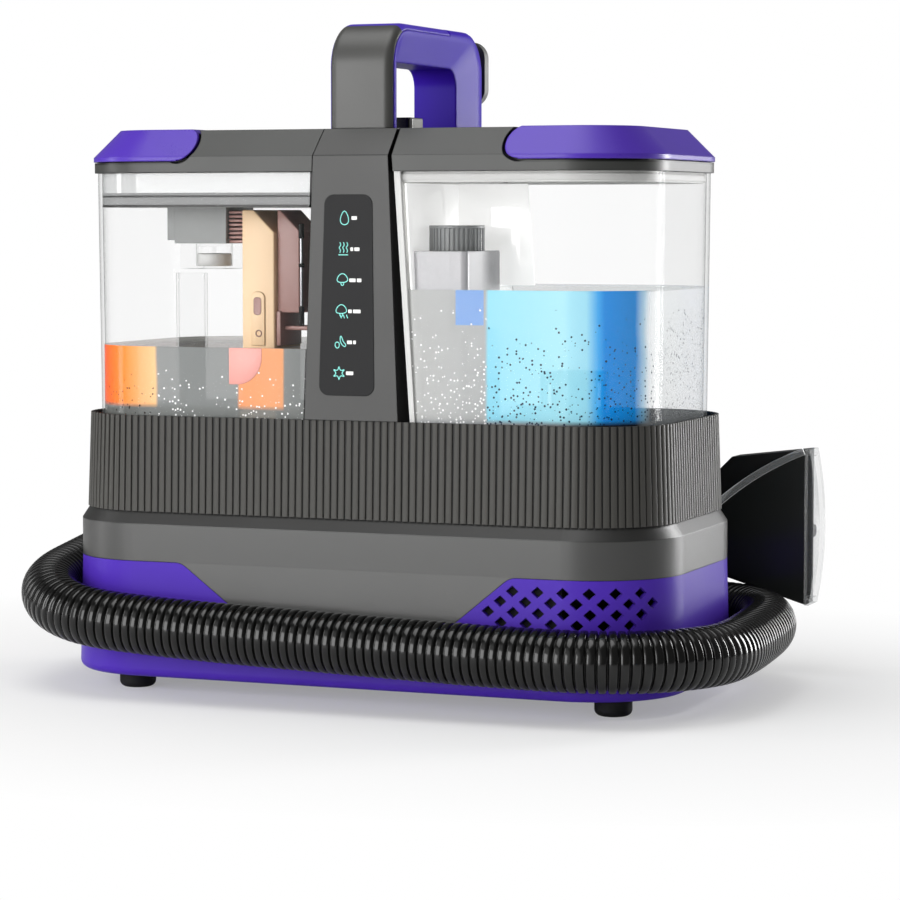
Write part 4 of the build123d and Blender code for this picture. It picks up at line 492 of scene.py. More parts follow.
@dataclass(frozen=True)
class Clear:
    """Clear moulded plastic: thin and colourless face on, grey along its edges."""

    name: str
    colour: Colour
    face: float = 0.05
    rim: float = 0.75
    power: float = 3.0
    roughness: float = 0.05
    specular: float = 0.8
    # A painted glow: light that the plastic gives off though it is no lamp.
    glow: float = 0.0
    milk_colour: Colour = paint("d9d9d7")
    milk_cover: float = 0.9
    cloud_scale: float = 9.0
    cover_spread: float = 0.02
    rough_spread: float = 0.04

    def milk(self, book: NodeBook) -> Signal | None:
        """One where the moulding is milky, and zero where it is clear, if it is milky anywhere."""
        return None

    def material(self) -> bpy.types.Material:
        """Make the material."""
        book = NodeBook(self.name)
        facing = book.node("LayerWeight", {}, {"Blend": 0.5}, "Facing")
        cloud = book.noise(self.cloud_scale)
        by_edge = (facing ** self.power) * (self.rim - self.face) + self.face
        alpha = by_edge + book.swing(cloud, self.cover_spread)
        colour, milk = (*self.colour, 1.0), self.milk(book)
        if milk is not None:
            colour = book.blend(milk, self.colour, self.milk_colour)
            alpha = alpha + (self.milk_cover - alpha) * milk
        return book.finish(
            Base_Color=colour,
            Roughness=book.swing(cloud, self.rough_spread, self.roughness),
            Alpha=alpha.clamped(),
            Specular_IOR_Level=self.specular,
            Emission_Color=colour,
            Emission_Strength=self.glow,
        )


@dataclass(frozen=True)
class ClearTank(Clear):
    """Clear tank whose wall beside the column is milky, up to a line that leans."""

    line: Span = (45.6, 36.4)
    levels: Span = (169.0, 325.0)
    sharpness: float = 4.0

    def milk(self, book: NodeBook) -> Signal | None:
        """The wall beside the column."""
        across, _, height = book.where()
        low, high = self.levels
        share = (height - low) * (1.0 / (high - low))
        edge = share * (self.line[1] - self.line[0]) + self.line[0]
        return ((edge - across) * self.sharpness).clamped()


@dataclass(frozen=True)
class Metal:
    """Drawn or brushed metal with a faint streak along Z."""

    name: str
    colour: Colour
    roughness: float = 0.32
    stretch: Point = (900.0, 900.0, 40.0)
    darkest: float = 0.85
    rough_spread: float = 0.25
    # The strength and height of the streaks, and how round the edges look.
    relief: Span = (0.15, 0.0001)
    edge: float = 0.3

    def material(self) -> bpy.types.Material:
        """Make the material."""
        book = NodeBook(self.name)
        drawn = book.node("Mapping", {}, {"Vector": book.spot(), "Scale": self.stretch})
        streak = book.noise(1.0, 3.0, drawn)
        return book.finish(
            Base_Color=book.blend(streak, tuple(part * self.darkest for part in self.colour), self.colour),
            Roughness=book.swing(streak, self.rough_spread, self.roughness),
            Metallic=1.0,
            Normal=book.bump(streak, *self.relief, book.soft_edges(self.edge * MM)),
        )


class Tone(Enum):
    """The finishes, by the pieces that carry them."""

    HOUSING = Housing("housing_moulding", paint("3f3f3e"), 0.36, seam_and_crease_shade=0.9, specular=0.62)
    LID = LidTop("lid_moulding", paint("393a38"), 0.38, seam_and_crease_shade=0.9, specular=0.42)
    # The column's sides are painted near black as painted shade.
    COLUMN = SideLightAndShade("column_moulding", paint("3d3d3c"), 0.42, seam_and_crease_shade=0.9, flank=paint("070707"), specular=0.4)
    SHOULDER = Moulded("shoulder_moulding", paint("222221"), 0.40, grain=0.2)
    GROOVE = Moulded("groove_moulding", paint("131312"), 0.6, edge=0.2)
    RIB = Moulded("rib_moulding", paint("484744"), 0.42, edge=0.0, specular=0.2)
    PURPLE = Moulded("purple_moulding", paint("5130b6"), 0.36, grain=0.06, seam_and_crease_shade=0.9, specular=0.12)
    SHELL = Shell("shell_moulding", paint("3f3f3d"), 0.38, edge=1.2, specular=0.5)
    GRIP = Moulded("grip_moulding", paint("3f20b6"), 0.34, grain=0.05, edge=2.2, specular=0.07)
    LATCH = Moulded("latch_moulding", paint("5031b0"), 0.30, grain=0.06, specular=0.32, edge=1.4)
    BLACK = Moulded("black_moulding", paint("151515"), 0.42, specular=0.35)
    NOZZLE = Moulded("nozzle_moulding", paint("1b1b1b"), 0.34, specular=0.3)
    WINDOW = Moulded("window_moulding", paint("242625"), 0.2, grain=0.02, mottle=0.02, specular=0.3)
    # The button's front is painted near black as painted shade, and its sides pale as painted light.
    BUTTON = SideLightAndShade("button_moulding", paint("070707"), 0.2, specular=0.3, flank=paint("8b8a84"))
    # The hook's sides are painted paler as painted light.
    HOOK = SideLightAndShade("hook_moulding", paint("121212"), 0.4, specular=0.35, flank=paint("6c6c6a"), edge=1.2)
    PANEL = Moulded("panel_sheet", paint("262627"), 0.45, grain=0.05, edge=0.3, specular=0.12)
    RUBBER = Moulded("rubber_moulding", paint("111111"), 0.7, grain=0.3, specular=0.3)
    GREY = Moulded("grey_moulding", paint("8b8d8c"), 0.42)
    FROST = Moulded("bottle_moulding", paint("b9b8bb"), 0.28, grain=0.03, coat=0.2, edge=1.0)
    CAP = Moulded("cap_moulding", paint("8b8d8d"), 0.35)
    PALE = Moulded("pale_moulding", paint("d6d6d4"), 0.45)
    AMBER = Moulded("amber_moulding", paint("ffd9ae"), 0.4, grain=0.04, seam_and_crease_shade=0.3)
    BROWN = Moulded("brown_moulding", paint("a87f78"), 0.35, grain=0.04, seam_and_crease_shade=0.35)
    ROSE = Moulded("rose_moulding", paint("f2a69c"), 0.35, grain=0.04, seam_and_crease_shade=0.3)
    BOARD = Moulded("circuit_sheet", paint("17492b"), 0.45, grain=0.3)
    FOAM = Moulded("filter_foam", paint("0e0e0e"), 0.95, grain=1.0, grain_scale=500.0)
    CASE = Moulded("motor_paint", paint("3a3d42"), 0.35)
    STEEL = Metal("brushed_steel", paint("b9babd"))
    SEAL = Moulded("seal_moulding", paint("8c8d8d"), 0.5)
    TANK = Clear("tank_moulding", paint("9a9d9d"), 0.015, 0.85, 6.0, specular=0.35)
    # The glow of the clean tank, the strip, the collar and the guide is painted light: it lifts the walls
    # out of their shade, and on the strip it stands for its glints.
    JUG = ClearTank("clean_tank_moulding", paint("9a9d9d"), 0.015, 0.85, 6.0, specular=0.35, glow=0.04)
    LENS = Clear("lip_moulding", paint("c4c8c8"), 0.10, 0.7, 2.4)
    STRIP = Clear("strip_moulding", paint("f2f4f4"), 0.10, 0.98, 1.1, roughness=0.03, specular=1.0, glow=0.3)
    SMOKE = Clear("collar_moulding", paint("cfd0d0"), 0.82, 0.95, 2.0, glow=0.10)
    MIST = Clear("guide_moulding", paint("f6f6f5"), 0.86, 0.97, 2.0, glow=0.42)
    TEAL = Printed("teal_ink", paint("8fe6dc"))
    WHITE = Printed("white_ink", paint("e9e9e7"), 0.2)
    FRESH = Water(
        "fresh_water", (40.0, 186.0),
        ((40.0, "bdbebc", 0.88), (90.0, "b3b5b5", 0.88), (92.0, "8fdef5", 0.9), (138.0, "a6e9f8", 0.88),
         (153.0, "a2e9ff", 0.9), (159.5, "2fb2ff", 0.93), (163.0, "0a94f2", 0.96), (177.5, "0d9cf8", 0.96),
         (181.0, "9ddcff", 0.7), (183.5, "f6fcff", 0.14)),
        ((40.0, "abaeaf", 0.88), (90.0, "9fa2a4", 0.9), (138.0, "7a7d80", 0.9), (160.0, "1c1d21", 0.96),
         (178.0, "202226", 0.96), (185.0, "e6ecef", 0.2)),
        177.0, 246.0, 91.0, "ffffff", "0f2a44", "e6f5fb", patch=(71.0, 89.0, 233.0, "7fa9e6"),
    )
    SPENT = Water(
        "spent_water", (-186.0, -26.0),
        ((-186.0, "ff5200", 0.98), (-173.0, "ff5c00", 0.98), (-154.0, "f58b34", 0.97),
         (-131.0, "ffc78a", 0.95), (-129.0, "868988", 0.9), (-74.0, "868988", 0.9),
         (-73.0, "f09c66", 0.95), (-43.0, "f0a674", 0.95), (-42.0, "868988", 0.9),
         (-26.0, "7b7e7d", 0.9)),
        ((-186.0, "5f605d", 0.9), (-130.0, "7b7e7c", 0.9), (-26.0, "7b7e7c", 0.9)),
        181.5, 210.0, -129.0, "2a1408", "ffffff", "e4e3dd", 0.62, 0.6,
    )


_made: dict[str, bpy.types.Material] = {}


def stock(tone: Tone) -> bpy.types.Material:
    """The material of a finish, made once."""
    if tone.name not in _made:
        _made[tone.name] = tone.value.material()
    return _made[tone.name]


def coat(piece: bpy.types.Object, material: bpy.types.Material) -> None:
    """Give a piece one material all over."""
    piece.data.materials.clear()
    piece.data.materials.append(material)


def dress(coats: dict[Tone, str]) -> None:
    """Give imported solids, named with spaces between, their finishes."""
    for tone, names in coats.items():
        for name in names.split():
            coat(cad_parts[name], stock(tone))


# ---------------------------------------------------------------- modelling
Test = Callable[[Vector, Vector], bool]
NEAR = 0.1 * MM
ALIGNED = 0.9
ACROSS_TURN = (math.pi / 2, 0, 0)


def near(x: float | None = None, y: float | None = None, z: float | None = None,
         along: int | None = None) -> Test:
    """Test for elements at a place, given in millimetres on as many axes as matter.

    Args:
        x, y, z: The place across, from front to back and up, or None where it doesn't matter.
        along: The axis that an edge runs along or that a face looks along, if it matters.

    Returns:
        A test that is told an element's middle and normal.
    """
    wanted = [(axis, BASE_MIDDLE[axis] + value * MM)
              for axis, value in enumerate((x, y, z)) if value is not None]

    def test(spot: Vector, way: Vector) -> bool:
        """Compare one element with what is wanted."""
        lies_there = all(abs(spot[axis] - value) < NEAR for axis, value in wanted)
        return lies_there and (along is None or abs(way[along]) > ALIGNED)

    return test


def pick(*pieces: bpy.types.Object) -> None:
    """Select the given pieces and nothing else, and make the last one active."""
    bpy.ops.object.select_all(action="DESELECT")
    for piece in pieces:
        piece.select_set(True)
        bpy.context.view_layer.objects.active = piece


def put(name: str, data: bpy.types.ID) -> bpy.types.Object:
    """Put a new object with some data into the scene."""
    made = bpy.data.objects.new(name, data)
    bpy.context.collection.objects.link(made)
    return made


def drawn(name: str, spots: Sequence[Vector], steps: int, kind: str = "NURBS",
          to_ends: bool = True) -> tuple[bpy.types.Curve, bpy.types.Spline]:
    """Draw a curve.

    Args:
        name: The curve's name.
        spots: The places that it follows.
        steps: How many steps it takes from one place to the next.
        kind: "NURBS" for a smooth curve, or "POLY" for straight runs.
        to_ends: Whether a smooth curve reaches its first and last place.

    Returns:
        The curve and its one spline.
    """
    curve = bpy.data.curves.new(name, "CURVE")
    curve.dimensions = "3D"
    curve.resolution_u = steps
    spline = curve.splines.new(kind)
    spline.points.add(len(spots) - 1)
    for point, spot in zip(spline.points, spots):
        point.co = (*spot, 1.0)
    if kind == "NURBS":
        spline.order_u = 3
        spline.use_endpoint_u = to_ends
    return curve, spline


class Workpiece:
    """A mesh in the making: a primitive that is shaped in edit mode and finished off."""

    def __init__(self, piece: bpy.types.Object, name: str) -> None:
        """Take up a piece that was just added, name it, and settle its place in its mesh."""
        self.piece = piece
        piece.name = name
        piece.data.name = name
        pick(piece)
        bpy.ops.object.transform_apply(location=True, rotation=True, scale=True)

    @classmethod
    def block(cls, name: str, low: Vector, high: Vector) -> "Workpiece":
        """A box between two corners."""
        pick()
        bpy.ops.mesh.primitive_cube_add(size=1.0, location=(low + high) / 2)
        piece = bpy.context.active_object
        piece.scale = high - low
        return cls(piece, name)

    @classmethod
    def slab(cls, name: str, low: Point, high: Point) -> "Workpiece":
        """A box between two corners in millimetres from the base's middle."""
        return cls.block(name, place(*low), place(*high))

    @classmethod
    def rod(cls, name: str, middle: Vector, radius: float, depth: float, sides: int,
            turn: Point = (0, 0, 0)) -> "Workpiece":
        """A round bar about its middle."""
        pick()
        bpy.ops.mesh.primitive_cylinder_add(
            vertices=sides, radius=radius, depth=depth, location=middle, rotation=turn
        )
        return cls(bpy.context.active_object, name)

    @classmethod
    def ring(cls, name: str, middle: Vector, radius: float, wire: float, turn: Point) -> "Workpiece":
        """A small ring of round wire."""
        pick()
        bpy.ops.mesh.primitive_torus_add(
            major_radius=radius, minor_radius=wire, location=middle, rotation=turn,
            major_segments=24, minor_segments=8,
        )
        return cls(bpy.context.active_object, name)

    def edit(self, kind: str, test: Test, *steps: Callable[[], object]) -> "Workpiece":
        """Select elements by place and normal and run operators on them in edit mode.

        Args:
            kind: "VERT", "EDGE" or "FACE".
            test: Told an element's middle and normal, says whether it is selected.
            steps: The operators to run, in order.

        Returns:
            The workpiece itself.
        """
        pick(self.piece)
        bpy.ops.object.mode_set(mode="EDIT")
        bpy.ops.mesh.select_mode(type=kind)
        bpy.ops.mesh.select_all(action="DESELECT")
        mesh = bmesh.from_edit_mesh(self.piece.data)
        for part in {"VERT": mesh.verts, "EDGE": mesh.edges, "FACE": mesh.faces}[kind]:
            part.select_set(test(*self._whereabouts(kind, part)))
        mesh.select_flush_mode()
        bmesh.update_edit_mesh(self.piece.data)
        for step in steps:
            step()
        bpy.ops.object.mode_set(mode="OBJECT")
        return self

    @staticmethod
    def _whereabouts(kind: str, part: object) -> tuple[Vector, Vector]:
        """The middle and normal of a vertex, edge or face; an edge's normal is its direction."""
        if kind == "FACE":
            return part.calc_center_median(), part.normal
        if kind == "EDGE":
            first, last = (corner.co for corner in part.verts)
            return (first + last) / 2, (last - first).normalized()
        return part.co, part.normal

    def bevelled(self, test: Test, width: float, segments: int) -> "Workpiece":
        """Cut or round chosen edges by a width in millimetres."""
        return self.edit("EDGE", test, lambda: bpy.ops.mesh.bevel(offset=width * MM, segments=segments))

    def shifted(self, kind: str, test: Test, x: float, y: float = 0.0) -> "Workpiece":
        """Move chosen elements by millimetres."""
        return self.edit(kind, test, lambda: bpy.ops.transform.translate(value=(x * MM, y * MM, 0.0)))

    def sunk(self, test: Test, rim: float, move: Point) -> "Workpiece":
        """Inset chosen faces by a rim and move what is inside it, in millimetres."""
        return self.edit("FACE", test, lambda: bpy.ops.mesh.inset(thickness=rim * MM),
                         lambda: bpy.ops.transform.translate(value=tuple(part * MM for part in move)))

    def walled(self, thickness: float) -> "Workpiece":
        """Open a block at its top and bottom, and leave a wall inside its outline."""
        self.edit("FACE", near(along=Z_AXIS), lambda: bpy.ops.mesh.delete(type="FACE"))
        return self.modified("SOLIDIFY", thickness=thickness * MM, offset=-1.0)

    def rounded(self, width: float, segments: int = 2, angle: float = 35.0) -> "Workpiece":
        """Round the sharp edges by a width in millimetres."""
        return self.modified("BEVEL", width=width * MM, segments=segments, limit_method="ANGLE",
                             angle_limit=math.radians(angle))

    def modified(self, kind: str, **settings: object) -> "Workpiece":
        """Add a modifier and apply it."""
        made = self.piece.modifiers.new(kind.lower(), kind)
        for key, value in settings.items():
            setattr(made, key, value)
        pick(self.piece)
        bpy.ops.object.modifier_apply(modifier=made.name)
        return self

    def cut(self, tool: "Workpiece", operation: str = "DIFFERENCE") -> "Workpiece":
        """Take another solid away from this one, or join it, and remove it."""
        self.modified("BOOLEAN", object=tool.piece, operation=operation, solver="EXACT")
        bpy.data.objects.remove(tool.piece)
        return self

    def copied(self, moves: Sequence[Matrix]) -> "Workpiece":
        """Replace the piece by copies of it, one for each move, joined as one mesh."""
        source = self.piece
        copies = []
        for move in moves:
            twin = source.copy()
            twin.data = source.data.copy()
            twin.data.transform(move)
            bpy.context.collection.objects.link(twin)
            copies.append(twin)
        pick(*reversed(copies))
        bpy.ops.object.join()
        self.piece = bpy.context.active_object
        name = source.name
        bpy.data.objects.remove(source)
        self.piece.name = name
        return self

    def joined(self, *others: "Workpiece") -> "Workpiece":
        """Join other workpieces into this one."""
        pick(*(other.piece for other in others), self.piece)
        bpy.ops.object.join()
        return self

    def done(self, body: str, tone: Tone, slot: str, smooth: float = 35.0) -> bpy.types.Object:
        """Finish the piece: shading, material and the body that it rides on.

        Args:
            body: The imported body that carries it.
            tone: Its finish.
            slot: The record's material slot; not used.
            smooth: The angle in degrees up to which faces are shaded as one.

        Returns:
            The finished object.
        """
        pick(self.piece)
        bpy.ops.object.shade_smooth_by_angle(angle=math.radians(smooth))
        coat(self.piece, stock(tone))
        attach(self.piece, body)
        LOG.info("made %s with %d faces", self.piece.name, len(self.piece.data.polygons))
        return self.piece


@dataclass(frozen=True)
class Slab:
    """A box in millimetres: some edges are cut first, then all its sharp edges are rounded."""

    name: str
    low: Point
    high: Point
    edge: float = 0.0
    segments: int = 2
    # Each cut: the test for its edges, its width and its segments.
    cuts: tuple[tuple[Test, float, int], ...] = ()

    def make(self) -> Workpiece:
        """Model the slab."""
        made = Workpiece.slab(self.name, self.low, self.high)
        for cut in self.cuts:
            made.bevelled(*cut)
        return made.rounded(self.edge, self.segments) if self.edge else made


# ---------------------------------------------------------------- the studio
@dataclass
class Studio:
    """The camera, the lamps, the pale surroundings and the floor."""

    eye: Point = (748.9, -1807.8, 298.25)
    aim: Point = (32.19, 0.0, 150.5)
    lens: float = 123.23
    sensor: float = 36.0
    floor_half: float = 6.0
    # The floor: where its fade starts and ends, how white it is before that, its colour, and how
    # strongly each way across it counts.
    near: float = 0.16
    far: float = 0.46
    lift: float = 0.3
    floor_grey: float = 0.93
    floor_shape: Span = (0.55, 1.0)
    soft_light: float = 0.31
    gap_glow: float = 0.16
    # Each white screen: its direction, and the cosines where it starts and is full.
    screens: tuple[tuple[Point, float, float], ...] = (
        ((-0.45, -0.90, 0.25), 0.72, 0.86),
        ((0.52, 0.85, 0.10), 0.93, 0.97),
        ((0.0, 0.0, 1.0), 0.90, 0.97),
    )
    # Each soft box: its name, its place, what it lights, its width, its height and its power.
    boxes: tuple[tuple[str, Point, Point, float, float, float], ...] = (
        ("key_box", (-650.0, -1580.0, 470.0), (0.0, 0.0, 160.0), 1.2, 0.9, 17.0),
        ("rim_box", (1050.0, 1350.0, 380.0), (150.0, 0.0, 150.0), 0.45, 1.1, 24.0),
        ("strip_box", (-1450.0, -420.0, 380.0), (-150.0, 0.0, 150.0), 0.25, 1.1, 5.0),
        ("top_box", (-200.0, -300.0, 1500.0), (0.0, 0.0, 150.0), 1.2, 0.9, 9.0),
    )

    def build(self) -> None:
        """Make everything round the object."""
        self.camera()
        self.surroundings()
        self.lamps()
        self.floor()

    @staticmethod
    def stand(name: str, data: bpy.types.ID, spot: Point, aim: Point) -> bpy.types.Object:
        """Stand a camera or a lamp at a place, and turn it to what it looks at."""
        piece = put(name, data)
        piece.location = place(*spot)
        piece.rotation_euler = (place(*aim) - piece.location).to_track_quat("-Z", "Y").to_euler()
        return piece

    def camera(self) -> None:
        """Stand the camera at the viewing angle."""
        made = bpy.data.cameras.new("main_view")
        made.lens = self.lens
        made.sensor_width = self.sensor
        bpy.context.scene.camera = self.stand("main_view", made, self.eye, self.aim)

    def surroundings(self) -> None:
        """White to the eye and through clear walls, softer on the object.

        Glossy surfaces see the white in front on the left and behind on the right, with
        darker stretches between, as between the screens of a studio.
        """
        world = bpy.data.worlds.new("surroundings")
        bpy.context.scene.world = world
        book = NodeBook("surroundings", world)
        eye, through, gloss = (
            book.node("LightPath", {}, {}, ray)
            for ray in ("Is Camera Ray", "Is Transmission Ray", "Is Glossy Ray")
        )
        seen = (eye + through).clamped()
        way = book.node("TexCoord", {}, {}, "Generated")
        screens = sum((self.screen(book, way, *side) for side in self.screens), 0.0)
        gleam = (screens * (1.0 - self.gap_glow) + self.gap_glow).clamped()
        strength = seen + gloss * gleam + (1 - (seen + gloss).clamped()) * self.soft_light
        light = book.node("Background", {}, {"Color": WHITE_LIGHT, "Strength": strength})
        book.node("OutputWorld", {}, {"Surface": light})

    @staticmethod
    def screen(book: NodeBook, way: Signal, toward: Point, edge: float, core: float) -> Signal:
        """One inside a round white screen, and zero outside it.

        Args:
            book: The world's nodes.
            way: The way that a ray leaves.
            toward: Where the screen stands, as a direction.
            edge: The cosine at which it starts.
            core: The cosine from which it is full.

        Returns:
            The screen's share of white.
        """
        close = book.dot(way, Vector(toward).normalized())
        return ((close - edge) * (1.0 / (core - edge))).clamped()

    def lamps(self) -> None:
        """Large soft boxes: from the front left, from behind on the right and from above."""
        for name, spot, aim, wide, high, power in self.boxes:
            lamp = bpy.data.lights.new(name, "AREA")
            lamp.shape = "RECTANGLE"
            lamp.size, lamp.size_y, lamp.energy = wide, high, power
            self.stand(name, lamp, spot, aim)

    def floor(self) -> None:
        """A pale floor that keeps the shadow near the object and is white further off."""
        pick()
        bpy.ops.mesh.primitive_plane_add(size=2 * self.floor_half, location=(0, 0, 0))
        ground = bpy.context.active_object
        ground.name = "floor"
        book = NodeBook("pale_floor")
        x, y, _ = book.parts(book.spot())
        away = (x * x * self.floor_shape[0] + y * y * self.floor_shape[1]) ** 0.5
        fade = ((away - self.near) / (self.far - self.near)).clamped()
        eye = book.node("LightPath", {}, {}, "Is Camera Ray")
        pale = (*(self.floor_grey,) * 3, 1.0)
        plain = {"Base Color": pale, "Roughness": 0.6, "Specular IOR Level": 0.2}
        matt = book.node("BsdfPrincipled", {}, plain)
        white = book.node("Emission", {}, {"Color": WHITE_LIGHT, "Strength": 1.0})
        share = (fade * (1.0 - self.lift) + self.lift) * eye
        mixed = book.node("MixShader", {}, {0: share, 1: matt, 2: white})
        book.node("OutputMaterial", {}, {"Surface": mixed})
        coat(ground, book.material)
        ground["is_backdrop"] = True


# ---------------------------------------------------------------- the hose
@dataclass
class Hose:
    """The corrugated suction hose, from the port at the back round the base to the wand."""

    radius: float = 18.5
    depth: float = 2.3
    pitch: float = 5.6
    sides: int = 40
    length: float = 1.2764
    route: tuple[Point, ...] = (
        (-36.0, 125.0, 44.0), (60.0, 125.0, 44.0), (184.0, 121.0, 42.0), (225.0, 74.0, 42.0),
        (228.5, 0.0, 37.5), (230.0, -70.0, 38.0), (184.0, -121.0, 38.2), (100.0, -121.4, 38.8),
        (0.0, -120.8, 41.6), (-100.0, -121.2, 44.8), (-176.0, -121.5, 50.0), (-217.5, -80.0, 61.5),
        (-223.5, 2.0, 70.5), (-222.5, 79.0, 82.0), (-178.0, 122.0, 90.5), (-102.0, 138.0, 92.0),
        (-20.0, 138.0, 92.0),
    )
    # One corrugation: the share of the pitch, and the share of the depth below the crest.
    wave: tuple[Span, ...] = (
        (0.0, 1.0), (0.07, 0.42), (0.14, 0.10), (0.30, 0.0), (0.62, 0.0), (0.80, 0.10), (0.87, 0.42),
        (0.94, 1.0),
    )
    # The plastic: the scale and detail of its mottling, its two colours, the spread and middle of
    # its roughness, and the scale, strength and height of its grain.
    clouds: Span = (30.0, 3.0)
    tints: tuple[Colour, Colour] = (paint("070707"), paint("0f0f0e"))
    polish: Span = (0.08, 0.14)
    grain: Point = (900.0, 0.05, 0.0002)
    specular: float = 0.42

    def build(self) -> None:
        """Make the tube and its finish, and attach it to the root body."""
        line = self.centre_line()
        tube = self.tube(line)
        coat(tube, self.finish())
        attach(tube, "root")
        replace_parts(tube, "hose")
        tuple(line[0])
        dress({Tone.BLACK: "hose_cuffs hose_port hose_saddles"})
        LOG.info("made the hose with %d faces", len(tube.data.polygons))

    def centre_line(self) -> list[Vector]:
        """Read the points of the smooth curve that the route's points draw."""
        curve, _ = drawn("hose_route", [place(*spot) for spot in self.route], 24)
        guide = put("hose_route", curve)
        bpy.context.view_layer.update()
        mesh = bpy.data.meshes.new_from_object(guide)
        points = [vertex.co.copy() for vertex in mesh.vertices]
        bpy.data.meshes.remove(mesh)
        bpy.data.objects.remove(guide)
        bpy.data.curves.remove(curve)
        return points

    def tube(self, line: list[Vector]) -> bpy.types.Object:
        """Sweep the corrugated wall along the line.

        Args:
            line: The centre line's points.

        Returns:
            The tube, closed at both ends inside its cuffs.
        """
        mesh = bmesh.new()
        side = Vector((0.0, 0.0, 1.0))
        loops = []
        for spot, along, radius in self.stations(line):
            side = (side - along * side.dot(along)).normalized()
            across = along.cross(side)
            loops.append([
                mesh.verts.new(spot + radius * (math.cos(turn) * side + math.sin(turn) * across))
                for turn in (2 * math.pi * index / self.sides for index in range(self.sides))
            ])
        for first, last in zip(loops, loops[1:]):
            for index in range(self.sides):
                after = (index + 1) % self.sides
                mesh.faces.new((first[index], first[after], last[after], last[index]))
        for loop in (loops[0], loops[-1]):
            mesh.faces.new(loop)
        bmesh.ops.recalc_face_normals(mesh, faces=mesh.faces)
        data = bpy.data.meshes.new("hose_tube")
        mesh.to_mesh(data)
        mesh.free()
        for face in data.polygons:
            face.use_smooth = True
        return put("hose_tube", data)

    def stations(self, line: list[Vector]) -> list[tuple[Vector, Vector, float]]:
        """Where each ring of the wall stands: its middle, its direction and its radius."""
        reach = [0.0]
        for first, last in zip(line, line[1:]):
            reach.append(reach[-1] + (last - first).length)
        count = round(reach[-1] / (self.pitch * MM))
        step = reach[-1] / count
        marks = [((turn + share) * step, drop) for turn in range(count) for share, drop in self.wave]
        marks.append((reach[-1], self.wave[0][1]))
        made, at, end = [], 0, len(line) - 1
        for distance, drop in marks:
            while at < end - 1 and reach[at + 1] < distance:
                at += 1
            share = min(max((distance - reach[at]) / (reach[at + 1] - reach[at]), 0.0), 1.0)
            before = (line[at + 1] - line[at]).normalized()
            after = (line[min(at + 2, end)] - line[min(at + 1, end - 1)]).normalized()
            along = before.lerp(after, share).normalized()
            made.append((line[at].lerp(line[at + 1], share), along, (self.radius - self.depth * drop) * MM))
        return made

    def finish(self) -> bpy.types.Material:
        """Glossy flexible plastic, slightly mottled."""
        book = NodeBook("hose_plastic")
        cloud = book.noise(*self.clouds)
        scale, *relief = self.grain
        return book.finish(
            Base_Color=book.blend(cloud, *self.tints),
            Roughness=book.swing(cloud, *self.polish),
            Normal=book.bump(book.noise(scale), *relief),
            Specular_IOR_Level=self.specular,
        )


